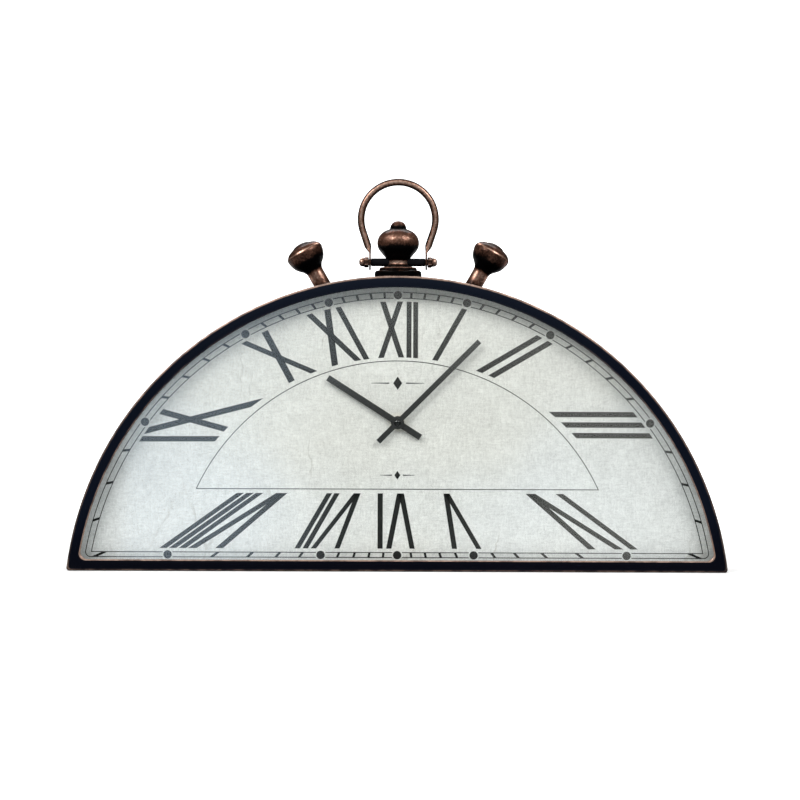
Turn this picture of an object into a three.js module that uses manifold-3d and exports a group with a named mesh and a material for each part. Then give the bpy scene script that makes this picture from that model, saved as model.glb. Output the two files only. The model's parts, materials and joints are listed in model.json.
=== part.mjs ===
// A half-round mantel clock: a sheet-metal case with a flat bezel, a printed dial behind glass, a battery
// movement, and a pocket-watch crown with a swinging bow and two pushers on top.
// Millimetres, +Z up, the dial faces -Y, and the origin is the middle of the base.
import * as THREE from "three";
import { mergeVertices } from "three/addons/utils/BufferGeometryUtils.js";
import Module from "manifold-3d";

const wasm = await Module();
wasm.setup();

// Case and bezel
const CASE_RADIUS = 250;
const CASE_CENTRE_DROP = 28;
const CASE_DEPTH = 62;
const CASE_WALL = 1.5;
const CASE_CORNER = 2;
const BEZEL_WIDTH = 8.5;
const BEZEL_THICKNESS = 2;
const BEZEL_CORNER = 5.5;
const BEZEL_RIM_DEPTH = 5;
const BEZEL_RIM_WALL = 1.2;
const LEDGE_WIDTH = 9;
const LEDGE_THICKNESS = 1.5;

// Back panel and its screws
const PANEL_THICKNESS = 2.5;
const PANEL_RECESS = 0.4;
const WINDOW_MARGIN = 10;
const WINDOW_CORNER = 6;
const SCREW_RADIUS = 1.5;
const SCREW_HEAD_RADIUS = 3;
const SCREW_HEAD_HEIGHT = 1.8;
const SCREW_LENGTH = 7;
const SCREW_ARC_DEGREES = [15, 60, 120, 165];
const SCREW_BASE_X = [-80, 80];

// Glass, dial and what holds them
const GLASS_THICKNESS = 2;
const DIAL_AIR_GAP = 7.4;
const SHEET_THICKNESS = 0.3;
const BOARD_THICKNESS = 3;
const SPACER_LENGTH = 30;
const SPACER_WIDTH = 3.5;
const CLIP_WIDTH = 12;
const CLIP_REACH = 12;
const CLIP_LENGTH = 9;
const CLIP_THICKNESS = 1.2;
const HOLDER_ARC_DEGREES = [30, 90, 150];
const HOLDER_BASE_X = [-120, 120];

// Print on the dial, in low relief
const DIAL_CENTRE_Z = 111.7;
const PRINT_THICKNESS = 0.15;
const PRINT_DROP = 1.1;
const TRACK_INSET = 10.5;
const TRACK_BASE = 9.45;
const TRACK_CORNER = 4;
const TRACK_WIDTH = 4.4;
const TRACK_BASE_WIDTH = 3.75;
const TRACK_LINE = 0.8;
const TICK_WIDTH = 1.75;
const DOT_RADIUS = 3.15;
const NUMERAL_INSET = 17.7;
const NUMERAL_BASE = 16.5;
const NUMERAL_INNER_INSET = 69.2;
const NUMERAL_INNER_RAISE = 9.3;
const NUMERAL_INNER_BASE = 58.2;
const FRAME_INSET = 82.3;
const FRAME_RAISE = 20;
const FRAME_BASE = 61.1;
const FRAME_LINE = 0.8;

// Each stroke of an hour numeral: the clock angles in degrees at its outer and its inner end, and its width
const NUMERAL_STROKES = {
  one: [[30.3, 30.8, 4]],
  two: [[58.6, 57.9, 4], [62.1, 63.7, 4]],
  three: [[87.9, 86.8, 4], [90.4, 90.6, 4], [92.8, 94.0, 4]],
  four: [[122.9, 118.2, 3.8], [119.6, 117.9, 3.4], [118.0, 113.6, 3.4]],
  five: [[155.5, 145.5, 3.8], [147.0, 145.0, 3.4]],
  six: [[187.7, 193.5, 3.9], [183.8, 178.1, 3.9], [173.2, 176.7, 3.8]],
  seven: [[218.4, 223.8, 3.5], [216.1, 220.4, 3.5], [213.6, 210.0, 3.2], [205.5, 209.0, 3.6]],
  eight: [
    [241.7, 245.7, 3.2], [240.7, 244.3, 3.2], [239.6, 242.8, 3.2],
    [238.4, 238.8, 3.4], [234.7, 238.1, 3.8],
  ],
  nine: [[266.2, 264.7, 4], [268.0, 277.9, 4.3], [272.5, 267.6, 4.4]],
  ten: [[297.4, 300.9, 3.7], [304.3, 291.0, 4.9]],
  eleven: [[320.6, 327.3, 4], [328.0, 312.2, 4.8], [332.6, 333.8, 4]],
  twelve: [[352.9, 3.1, 4], [1.1, 345.5, 3.9], [5.3, 9.7, 3.7], [8.4, 15.4, 3.6]],
};

// Hands, set at about seven and a half minutes past ten
const HAND_THICKNESS = 0.5;
const HAND_HUB_RADIUS = 5;
const HAND_TAIL = 20.5;
const MINUTE_HAND_LENGTH = 87;
const MINUTE_HAND_WIDTH = 4;
const MINUTE_HAND_DEGREES = 45;
const HOUR_HAND_LENGTH = 62.5;
const HOUR_HAND_WIDTH = 4.7;
const HOUR_HAND_DEGREES = 302.6;
const HAND_NUT_RADIUS = 2.6;
const HAND_NUT_HEIGHT = 1.6;

// Crown, its pivot bolt and the bow
const COLLAR_RADIUS = 17.95;
const COLLAR_HEIGHT = 5.5;
const SPIGOT_RADIUS = 5.7;
const CROWN_RADIUS = 16;
const CROWN_HEIGHT = 37.4;
const NECK_RADIUS = 7.5;
const BUTTON_RADIUS = 6.15;
const BUTTON_HEIGHT = 6.1;
const BUTTON_PIN_RADIUS = 2;
const BUTTON_PIN_LENGTH = 6;
const CROWN_SCREW_RADIUS = 2;
const CROWN_SCREW_HEAD = 3.8;
const CROWN_SCREW_HEAD_HEIGHT = 2.6;
const CROWN_SCREW_REACH = 7;
const PIVOT_HEIGHT = 12;
const PIVOT_RADIUS = 2.5;
const CAP_NUT_LENGTH = 7.4;
const CAP_NUT_RADIUS = 4.1;
const CAP_NUT_BORE_DEPTH = 4.4;
const BOW_RADIUS = 28.4;
const BOW_RING_HEIGHT = 32.9;
const BOW_ROD_RADIUS = 2.6;
const BOW_EYE_X = 21.5;
const BOW_EYE_RADIUS = 5.9;
const BOW_EYE_THICKNESS = 1.4;
const BOW_LEG_FOOT = 7.5;

// Pushers
const PUSHER_PLACE_DEGREES = 13.2;
const PUSHER_TILT_DEGREES = 29.8;
const PUSHER_STEM_RADIUS = 6.3;
const PUSHER_HEAD_RADIUS = 14.5;
const PUSHER_STEM_LENGTH = 14;
const PUSHER_HEAD_HEIGHT = 23;
const PUSHER_SCREW_REACH = 10;

// Movement housing
const MOVEMENT_DEPTH = 16;
const MOVEMENT_WALL = 1.5;
const COVER_THICKNESS = 1.5;
const PARTITION_THICKNESS = 1.2;
const BATTERY_RADIUS = 7.1;
const BATTERY_LENGTH = 50.2;
const BATTERY_NUB_RADIUS = 2.7;
const BATTERY_NUB_LENGTH = 1.3;
const BATTERY_END_ROOM = 1.4;
const RUBBER_THICKNESS = 0.6;
const RUBBER_RADIUS = 9;
const BUSH_RADIUS = 3.5;
const BUSH_FLANGE_RADIUS = 6;
const BUSH_FLANGE_THICKNESS = 0.6;
const MOUNTING_NUT_RADIUS = 4.9;
const MOUNTING_NUT_HEIGHT = 1.5;
const HOUR_TUBE_RADIUS = 2.5;
const MINUTE_ARBOR_RADIUS = 1.7;
const MINUTE_TIP_RADIUS = 1.2;

// Toothed wheels
const MOTION_MODULE = 0.45;
const TRAIN_MODULE = 0.36;
const CANNON_TEETH = 12;
const MINUTE_WHEEL_TEETH = 36;
const MINUTE_PINION_TEETH = 10;
const HOUR_WHEEL_TEETH = 40;
const SET_PINION_TEETH = 12;
const CENTRE_WHEEL_TEETH = 48;
const THIRD_WHEEL_TEETH = 45;
const FOURTH_WHEEL_TEETH = 36;
const FIFTH_WHEEL_TEETH = 30;
const LEAF_COUNT = 6;
const WHEEL_THICKNESS = 0.8;
const PINION_OVERHANG = 0.2;
const TOOTH_ADDENDUM = 0.75;
const TOOTH_DEDENDUM = 1.25;
const TOOTH_ROOT_SHARE = 0.8;
const ARBOR_RADIUS = 0.55;
const PIVOT_PIN_RADIUS = 0.35;
const PIVOT_PIN_LENGTH = 0.8;
const MINUTE_WHEEL_BEARING = 25;
const SET_KNOB_BEARING = -20;
const THIRD_WHEEL_BEARING = 100;
const FOURTH_WHEEL_BEARING = 180;
const FIFTH_WHEEL_BEARING = 100;
const ROTOR_BEARING = 20;
const SET_STEM_RADIUS = 1.5;
const SET_KNOB_RADIUS = 5;
const SET_KNOB_HEIGHT = 4;
const MAGNET_RADIUS = 3;
const MAGNET_LENGTH = 3.2;
const STATOR_THICKNESS = 1.2;
const STATOR_RIM = 1.6;
const STATOR_BRIDGE = 2;
const COIL_RADIUS = 4;
const COIL_CORE_RADIUS = 1;
const COIL_ROOM = 1.57;
const TRAIN_ROOM = 1.39;
const BOARD_CARD_THICKNESS = 1;
const BOARD_CARD_WIDTH = 7.2;
const CRYSTAL_RADIUS = 1;
const CRYSTAL_LENGTH = 6;
const CONTACT_THICKNESS = 0.4;

// Clearances
const SEAT_GAP = 0.1;
const SIDE_GAP = 0.3;
const RUNNING_GAP = 0.1;
const HOLE_GAP = 0.4;

// How finely round shapes are drawn
const CASE_STEPS = 36;
const CORNER_STEPS = 4;
const TURNED_STEPS = 20;
const SMALL_STEPS = 16;
const PIN_STEPS = 8;
const PRINT_STEPS = 30;

// Places that follow from the sizes
const CASE_CENTRE_Z = -CASE_CENTRE_DROP;
const CASE_TOP_Z = CASE_RADIUS - CASE_CENTRE_DROP;
const FRONT_Y = -CASE_DEPTH / 2;
const BACK_Y = CASE_DEPTH / 2;
const FLANGE_BACK_Y = FRONT_Y + BEZEL_THICKNESS;
const RIM_INSET = CASE_WALL + SIDE_GAP;
const STACK_INSET = RIM_INSET + BEZEL_RIM_WALL + SIDE_GAP;
const GLASS_FRONT_Y = FLANGE_BACK_Y + SEAT_GAP;
const GLASS_BACK_Y = GLASS_FRONT_Y + GLASS_THICKNESS;
const SHEET_FRONT_Y = GLASS_BACK_Y + DIAL_AIR_GAP;
const SHEET_BACK_Y = SHEET_FRONT_Y + SHEET_THICKNESS;
const BOARD_FRONT_Y = SHEET_BACK_Y + SEAT_GAP;
const BOARD_BACK_Y = BOARD_FRONT_Y + BOARD_THICKNESS;
const RUBBER_FRONT_Y = BOARD_BACK_Y + SEAT_GAP;
const MOVEMENT_FRONT_Y = RUBBER_FRONT_Y + RUBBER_THICKNESS + SEAT_GAP;
const MOVEMENT_WIDTH = BATTERY_LENGTH + 2 * (BATTERY_END_ROOM + MOVEMENT_WALL);
const PANEL_BACK_Y = BACK_Y - PANEL_RECESS;
const PANEL_FRONT_Y = PANEL_BACK_Y - PANEL_THICKNESS;
const LEDGE_BACK_Y = PANEL_FRONT_Y - SEAT_GAP;
const LEDGE_FRONT_Y = LEDGE_BACK_Y - LEDGE_THICKNESS;
const NUT_BACK_Y = SHEET_FRONT_Y - SEAT_GAP;
const NUT_FRONT_Y = NUT_BACK_Y - MOUNTING_NUT_HEIGHT;
const BUSH_FRONT_Y = NUT_FRONT_Y - SIDE_GAP;
const HOUR_HAND_BACK_Y = BUSH_FRONT_Y - HOLE_GAP;
const HOUR_HAND_FRONT_Y = HOUR_HAND_BACK_Y - HAND_THICKNESS;
const HOUR_TUBE_FRONT_Y = HOUR_HAND_FRONT_Y - SIDE_GAP;
const MINUTE_HAND_BACK_Y = HOUR_TUBE_FRONT_Y - HOLE_GAP;
const MINUTE_HAND_FRONT_Y = MINUTE_HAND_BACK_Y - HAND_THICKNESS;
const HAND_NUT_BACK_Y = MINUTE_HAND_FRONT_Y - SEAT_GAP;
const HAND_NUT_FRONT_Y = HAND_NUT_BACK_Y - HAND_NUT_HEIGHT;

const radians = THREE.MathUtils.degToRad;

// Finishes
function finish(color, roughness, metalness) {
  return new THREE.MeshStandardMaterial({ color, roughness, metalness });
}
const BLACK_PAINT = finish(0x161a26, 0.5, 0.3);
const COPPER = finish(0x8a5a44, 0.4, 0.9);
const BRASS = finish(0xb08d4a, 0.35, 0.9);
const STEEL = finish(0x9a9c9e, 0.35, 0.9);
const CLEAR_GLASS = finish(0xdfe8ea, 0.05, 0);
const PAPER = finish(0xdcdcd4, 0.9, 0);
const HARDBOARD = finish(0x7a5a3c, 0.9, 0);
const BLACK_PLASTIC = finish(0x1c1c1e, 0.6, 0);
const WHITE_PLASTIC = finish(0xe6e4dc, 0.6, 0);
const RUBBER = finish(0x202020, 0.9, 0);
const DARK_ALUMINIUM = finish(0x3a3b3c, 0.5, 0.6);
const GREEN_CARD = finish(0x2f5a3a, 0.7, 0);
const COPPER_WIRE = finish(0xa3562c, 0.4, 0.8);
const BATTERY_WRAP = finish(0x4a5560, 0.4, 0.3);

// Solids: geometry is merged into a closed body, added or subtracted, and handed back
function solidOf(geometry) {
  const bare = new THREE.BufferGeometry();
  bare.setAttribute("position", geometry.getAttribute("position"));
  bare.setIndex(geometry.getIndex());
  const merged = mergeVertices(bare, 1e-4);
  const vertProperties = merged.getAttribute("position").array;
  const triVerts = new Uint32Array(merged.getIndex().array);
  return new wasm.Manifold(new wasm.Mesh({ numProp: 3, vertProperties, triVerts }));
}

function geometryOf(solid) {
  const { vertProperties, triVerts } = solid.getMesh();
  const geometry = new THREE.BufferGeometry();
  geometry.setAttribute("position", new THREE.BufferAttribute(vertProperties, 3));
  geometry.setIndex(new THREE.BufferAttribute(triVerts, 1));
  return geometry;
}

function join(first, ...others) {
  const add = (solid, other) => solid.add(solidOf(other));
  return geometryOf(others.reduce(add, solidOf(first)));
}

function cut(body, ...tools) {
  const subtract = (solid, tool) => solid.subtract(solidOf(tool));
  return geometryOf(tools.reduce(subtract, solidOf(body)));
}

// Outlines seen from the front: x to the right, z up
function arc(x, z, radius, from, to, steps) {
  const points = [];
  for (let i = 0; i <= steps; i += 1) {
    const angle = from + ((to - from) * i) / Math.max(steps, 1);
    points.push(new THREE.Vector2(x + radius * Math.cos(angle), z + radius * Math.sin(angle)));
  }
  return points;
}

function circle(x, z, radius, steps) {
  return arc(x, z, radius, 0, 2 * Math.PI, steps).slice(0, -1);
}

function rectangle(left, bottom, right, top) {
  const corners = [[left, bottom], [right, bottom], [right, top], [left, top]];
  return corners.map(([x, z]) => new THREE.Vector2(x, z));
}

// A round top on a straight base, with the two lower corners rounded
function halfRound({ radius, centreZ, baseZ, corner }, roundSteps) {
  const steps = corner > 0 ? CORNER_STEPS : 0;
  const cornerZ = baseZ + corner;
  const cornerX = Math.sqrt((radius - corner) ** 2 - (cornerZ - centreZ) ** 2);
  const lean = Math.atan2(cornerZ - centreZ, cornerX);
  return [
    ...arc(cornerX, cornerZ, corner, -Math.PI / 2, lean, steps),
    ...arc(0, centreZ, radius, lean, Math.PI - lean, roundSteps).slice(1, -1),
    ...arc(-cornerX, cornerZ, corner, Math.PI - lean, 1.5 * Math.PI, steps),
  ];
}

function caseOutline(inset, corner) {
  return halfRound({ radius: CASE_RADIUS - inset, centreZ: CASE_CENTRE_Z, baseZ: inset, corner }, CASE_STEPS);
}

// A flat piece of the given outline between two depths
function plate(outline, frontY, backY, holes = []) {
  const shape = new THREE.Shape(outline);
  shape.holes = holes.map((hole) => new THREE.Path(hole));
  const solid = new THREE.ExtrudeGeometry(shape, { depth: backY - frontY, bevelEnabled: false });
  return solid.rotateX(Math.PI / 2).translate(0, backY, 0);
}

function block(left, right, frontY, backY, bottom, top) {
  const solid = new THREE.BoxGeometry(right - left, backY - frontY, top - bottom);
  return solid.translate((left + right) / 2, (frontY + backY) / 2, (bottom + top) / 2);
}

// A piece turned about the x, y or z axis from pairs of radius and height, lowest height first
function turned(axis, profile, steps = TURNED_STEPS) {
  const solid = new THREE.LatheGeometry(profile.map(([r, h]) => new THREE.Vector2(r, h)), steps);
  if (axis === "x") solid.rotateZ(-Math.PI / 2);
  if (axis === "z") solid.rotateX(Math.PI / 2);
  return solid;
}

function rod(axis, radius, from, to, steps = SMALL_STEPS) {
  return turned(axis, [[0, from], [radius, from], [radius, to], [0, to]], steps);
}

function tube(axis, inner, outer, from, to, steps = SMALL_STEPS) {
  return turned(axis, [[inner, from], [outer, from], [outer, to], [inner, to], [inner, from]], steps);
}

const clock = new THREE.Group();
clock.name = "half_round_mantel_clock";

function add(parent, name, geometry, material) {
  const mesh = new THREE.Mesh(geometry, material);
  mesh.name = name;
  parent.add(mesh);
}

function placed(parent, x, y, z, turnY = 0) {
  const group = new THREE.Group();
  group.position.set(x, y, z);
  group.rotation.y = turnY;
  parent.add(group);
  return group;
}

// Case: a bent band with a ledge welded in near its rear edge, closed in front by the bezel
function buildCase() {
  const bezelOpening = caseOutline(BEZEL_WIDTH, BEZEL_CORNER);
  const flange = plate(caseOutline(0, CASE_CORNER), FRONT_Y, FLANGE_BACK_Y, [bezelOpening]);
  const rimBack = FLANGE_BACK_Y + BEZEL_RIM_DEPTH;
  const rimMiddle = FLANGE_BACK_Y - BEZEL_THICKNESS / 2;
  const rimHole = caseOutline(RIM_INSET + BEZEL_RIM_WALL, 1);
  const rim = plate(caseOutline(RIM_INSET, 1), rimMiddle, rimBack, [rimHole]);
  add(clock, "front_bezel", join(flange, rim), BLACK_PAINT);

  const bandFront = FLANGE_BACK_Y + SEAT_GAP;
  const band = plate(caseOutline(0, CASE_CORNER), bandFront, BACK_Y, [caseOutline(CASE_WALL, 0.5)]);
  const crownHole = rod("z", CROWN_SCREW_RADIUS + HOLE_GAP, -10, 10).translate(0, 0, CASE_TOP_Z);
  const pusherHoles = [-1, 1].map((side) => {
    const hole = rod("z", CROWN_SCREW_RADIUS + HOLE_GAP, -10, 10);
    const { x, z } = pusherFoot(side);
    return hole.rotateY(side * radians(PUSHER_TILT_DEGREES)).translate(x, 0, z);
  });
  add(clock, "case_shell", cut(band, crownHole, ...pusherHoles), BLACK_PAINT);

  const ledgeHole = caseOutline(CASE_WALL + LEDGE_WIDTH, BEZEL_CORNER);
  const ledge = plate(caseOutline(CASE_WALL + SEAT_GAP, 1), LEDGE_FRONT_Y, LEDGE_BACK_Y, [ledgeHole]);
  add(clock, "rear_ledge", cut(ledge, ...screwHoles(LEDGE_FRONT_Y, LEDGE_BACK_Y)), BLACK_PAINT);
}

function screwPlaces() {
  const inset = CASE_WALL + LEDGE_WIDTH / 2;
  const radius = CASE_RADIUS - inset;
  const onArc = SCREW_ARC_DEGREES.map((degrees) => {
    const angle = radians(degrees);
    return { x: radius * Math.cos(angle), z: CASE_CENTRE_Z + radius * Math.sin(angle) };
  });
  return [...onArc, ...SCREW_BASE_X.map((x) => ({ x, z: inset }))];
}

function screwHoles(frontY, backY) {
  return screwPlaces().map(({ x, z }) => {
    const hole = rod("y", SCREW_RADIUS + SIDE_GAP, frontY - 1, backY + 1, PIN_STEPS);
    return hole.translate(x, 0, z);
  });
}

// Back panel, with a window for reaching the movement
function buildBack() {
  const cornerX = MOVEMENT_WIDTH / 2 + WINDOW_MARGIN - WINDOW_CORNER;
  const { below, above } = movementReach();
  const cornerTop = DIAL_CENTRE_Z + above + WINDOW_MARGIN - WINDOW_CORNER;
  const cornerBottom = DIAL_CENTRE_Z - below - WINDOW_MARGIN + WINDOW_CORNER;
  const corners = [[1, -1], [1, 1], [-1, 1], [-1, -1]];
  const window = corners.flatMap(([x, z], i) => {
    const from = ((i - 1) * Math.PI) / 2;
    const centreZ = z > 0 ? cornerTop : cornerBottom;
    return arc(x * cornerX, centreZ, WINDOW_CORNER, from, from + Math.PI / 2, CORNER_STEPS);
  });
  const panel = plate(caseOutline(CASE_WALL + SIDE_GAP, 1), PANEL_FRONT_Y, PANEL_BACK_Y, [window]);
  add(clock, "back_panel", cut(panel, ...screwHoles(PANEL_FRONT_Y, PANEL_BACK_Y)), HARDBOARD);
  const headFront = PANEL_BACK_Y + SEAT_GAP - SCREW_HEAD_HEIGHT;
  screwPlaces().forEach(({ x, z }, i) => {
    const tip = headFront - SCREW_LENGTH;
    const profile = [
      [0, tip],
      [SCREW_RADIUS * 0.4, tip],
      [SCREW_RADIUS, tip + 1.5],
      [SCREW_RADIUS, headFront + SCREW_HEAD_HEIGHT],
      [SCREW_HEAD_RADIUS, headFront + SCREW_HEAD_HEIGHT],
      [SCREW_HEAD_RADIUS * 0.9, BACK_Y],
      [0, BACK_Y],
    ];
    add(placed(clock, x, 0, z), `back_screw_${i + 1}`, turned("y", profile, PIN_STEPS), STEEL);
  });
}

// Places round the dial where a spacer block and a clip sit, each with the turn that points +Z outwards
function holderPlaces() {
  const onArc = HOLDER_ARC_DEGREES.map((degrees) => {
    const angle = radians(degrees);
    const x = CASE_RADIUS * Math.cos(angle);
    const z = CASE_CENTRE_Z + CASE_RADIUS * Math.sin(angle);
    return { x, z, turn: Math.PI / 2 - angle };
  });
  return [...onArc, ...HOLDER_BASE_X.map((x) => ({ x, z: 0, turn: Math.PI }))];
}

// Glass, dial sheet and hardboard, with the blocks between them and the clips behind
function buildDial() {
  const bushHole = circle(0, DIAL_CENTRE_Z, BUSH_RADIUS + HOLE_GAP, SMALL_STEPS);
  const outline = caseOutline(STACK_INSET, 2);
  add(clock, "glass_pane", plate(outline, GLASS_FRONT_Y, GLASS_BACK_Y), CLEAR_GLASS);
  add(clock, "dial_board", plate(outline, BOARD_FRONT_Y, BOARD_BACK_Y, [bushHole]), HARDBOARD);
  const sheet = plate(outline, SHEET_FRONT_Y, SHEET_BACK_Y, [bushHole]);
  add(clock, "dial_sheet", join(sheet, ...dialPrint()), PAPER);

  const spacerTop = -STACK_INSET - 2 * SIDE_GAP;
  const wallFace = -CASE_WALL - SIDE_GAP;
  const clipFront = BOARD_BACK_Y + SEAT_GAP;
  holderPlaces().forEach(({ x, z, turn }, i) => {
    const place = placed(clock, x, 0, z, turn);
    const half = SPACER_LENGTH / 2;
    const spacerFront = GLASS_BACK_Y + SEAT_GAP;
    const spacerBack = SHEET_FRONT_Y - SEAT_GAP;
    const spacer = block(-half, half, spacerFront, spacerBack, spacerTop - SPACER_WIDTH, spacerTop);
    add(place, `spacer_${i + 1}`, spacer, RUBBER);
    const side = CLIP_WIDTH / 2;
    const leg = block(-side, side, clipFront, clipFront + CLIP_LENGTH, wallFace - CLIP_THICKNESS, wallFace);
    const tongue = block(-side, side, clipFront, clipFront + CLIP_THICKNESS, wallFace - CLIP_REACH, wallFace);
    add(place, `dial_clip_${i + 1}`, join(leg, tongue), STEEL);
  });
}

// Print: bars, ticks and dots lie on lines seen from the dial centre and stop at half-round contours
function contour(inset, raise, baseZ, corner = 0) {
  return { radius: CASE_RADIUS - inset, centreZ: CASE_CENTRE_Z - PRINT_DROP + raise, baseZ, corner };
}

// Where a line from a point inside leaves a contour, or a line from outside enters it
function crossing({ radius, centreZ, baseZ }, point, way, entering) {
  const fromCentre = new THREE.Vector2(point.x, point.y - centreZ);
  const along = fromCentre.dot(way);
  const spread = Math.sqrt(Math.max(along ** 2 - fromCentre.lengthSq() + radius ** 2, 0));
  const toBase = (baseZ - point.y) / way.y;
  let distance = entering ? -along - spread : -along + spread;
  if (entering && way.y > 0) distance = Math.max(distance, toBase);
  if (!entering && way.y < 0) distance = Math.min(distance, toBase);
  return point.clone().addScaledVector(way, distance);
}

function clockRay(degrees) {
  return new THREE.Vector2(Math.sin(radians(degrees)), Math.cos(radians(degrees)));
}

// The four corners of a bar between two contours
function bar(outer, inner, outerDegrees, innerDegrees, width) {
  const centre = new THREE.Vector2(0, DIAL_CENTRE_Z);
  const far = crossing(outer, centre, clockRay(outerDegrees), false);
  const near = crossing(inner, centre, clockRay(innerDegrees), false);
  const middle = far.clone().lerp(near, 0.5);
  const way = far.clone().sub(near).normalize();
  const side = new THREE.Vector2(-way.y, way.x).multiplyScalar(width / 2);
  const left = middle.clone().add(side);
  const right = middle.clone().sub(side);
  const back = way.clone().negate();
  return [
    crossing(outer, left, way, false),
    crossing(inner, left, back, true),
    crossing(inner, right, back, true),
    crossing(outer, right, way, false),
  ];
}

function dialPrint() {
  const front = SHEET_FRONT_Y - PRINT_THICKNESS;
  const back = SHEET_FRONT_Y + SHEET_THICKNESS / 2;
  const inked = (outline, holes) => plate(outline, front, back, holes);
  const ring = (from, width) => {
    const corner = Math.max(from.corner - width, 0);
    const inside = { ...from, radius: from.radius - width, baseZ: from.baseZ + width, corner };
    return inked(halfRound(from, PRINT_STEPS), [halfRound(inside, PRINT_STEPS)]);
  };
  const trackOuter = contour(TRACK_INSET, 0, TRACK_BASE, TRACK_CORNER);
  const trackInner = contour(TRACK_INSET + TRACK_WIDTH, 0, TRACK_BASE + TRACK_BASE_WIDTH);
  const frame = contour(FRAME_INSET, FRAME_RAISE, FRAME_BASE);
  const rings = [ring(trackOuter, TRACK_LINE), ring(trackInner, TRACK_LINE), ring(frame, FRAME_LINE)];
  const tickOuter = contour(TRACK_INSET + TRACK_LINE / 2, 0, TRACK_BASE + TRACK_LINE / 2);
  const tickInset = TRACK_INSET + TRACK_WIDTH + TRACK_LINE / 2;
  const tickInner = contour(tickInset, 0, TRACK_BASE + TRACK_BASE_WIDTH + TRACK_LINE / 2);
  const trackMiddle = contour(TRACK_INSET + TRACK_WIDTH / 2, 0, TRACK_BASE + TRACK_BASE_WIDTH / 2);
  const minutes = Array.from({ length: 60 }, (_, minute) => minute);
  const ticks = minutes
    .filter((minute) => minute % 5)
    .map((minute) => inked(bar(tickOuter, tickInner, minute * 6, minute * 6, TICK_WIDTH)));
  const dots = minutes
    .filter((minute) => minute % 5 === 0)
    .map((minute) => {
      const centre = new THREE.Vector2(0, DIAL_CENTRE_Z);
      const middle = crossing(trackMiddle, centre, clockRay(minute * 6), false);
      return inked(circle(middle.x, middle.y, DOT_RADIUS, PIN_STEPS + 2));
    });
  const numeralOuter = contour(NUMERAL_INSET, 0, NUMERAL_BASE);
  const numeralInner = contour(NUMERAL_INNER_INSET, NUMERAL_INNER_RAISE, NUMERAL_INNER_BASE);
  const numerals = Object.values(NUMERAL_STROKES)
    .flat()
    .map(([outer, inner, width]) => inked(bar(numeralOuter, numeralInner, outer, inner, width)));
  return [...rings, ...ticks, ...dots, ...numerals];
}

// Hands: straight bars with a round hub, pointing up before they are turned
function hand({ length, width, hole }, frontY, backY) {
  const blade = plate(rectangle(-width / 2, -HAND_TAIL, width / 2, length), frontY, backY);
  const hub = rod("y", HAND_HUB_RADIUS, frontY, backY);
  return cut(join(blade, hub), rod("y", hole, frontY - 1, backY + 1));
}

function buildHands() {
  const hourPlace = placed(clock, 0, 0, DIAL_CENTRE_Z, radians(HOUR_HAND_DEGREES));
  const hourHole = HOUR_TUBE_RADIUS + RUNNING_GAP;
  const hourSizes = { length: HOUR_HAND_LENGTH, width: HOUR_HAND_WIDTH, hole: hourHole };
  add(hourPlace, "hour_hand", hand(hourSizes, HOUR_HAND_FRONT_Y, HOUR_HAND_BACK_Y), DARK_ALUMINIUM);
  const minutePlace = placed(clock, 0, 0, DIAL_CENTRE_Z, radians(MINUTE_HAND_DEGREES));
  const tipHole = MINUTE_TIP_RADIUS + RUNNING_GAP;
  const minuteSizes = { length: MINUTE_HAND_LENGTH, width: MINUTE_HAND_WIDTH, hole: tipHole };
  const minuteHand = hand(minuteSizes, MINUTE_HAND_FRONT_Y, MINUTE_HAND_BACK_Y);
  add(minutePlace, "minute_hand", minuteHand, DARK_ALUMINIUM);
  const nutProfile = [
    [0, HAND_NUT_FRONT_Y],
    [HAND_NUT_RADIUS * 0.55, HAND_NUT_FRONT_Y + HAND_NUT_HEIGHT * 0.1],
    [HAND_NUT_RADIUS * 0.9, HAND_NUT_FRONT_Y + HAND_NUT_HEIGHT * 0.35],
    [HAND_NUT_RADIUS, HAND_NUT_FRONT_Y + HAND_NUT_HEIGHT * 0.6],
    [HAND_NUT_RADIUS, HAND_NUT_BACK_Y],
    [tipHole, HAND_NUT_BACK_Y],
    [tipHole, HAND_NUT_FRONT_Y + HAND_NUT_HEIGHT * 0.35],
    [0, HAND_NUT_FRONT_Y + HAND_NUT_HEIGHT * 0.35],
  ];
  add(minutePlace, "hand_nut", turned("y", nutProfile, SMALL_STEPS), DARK_ALUMINIUM);
}

// What is fixed on the round top is cut to follow it, a small gap above
function roundTopCutter(x, z) {
  return rod("y", CASE_RADIUS + SIDE_GAP, -CASE_DEPTH, CASE_DEPTH, 240).translate(x, 0, z);
}

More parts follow.
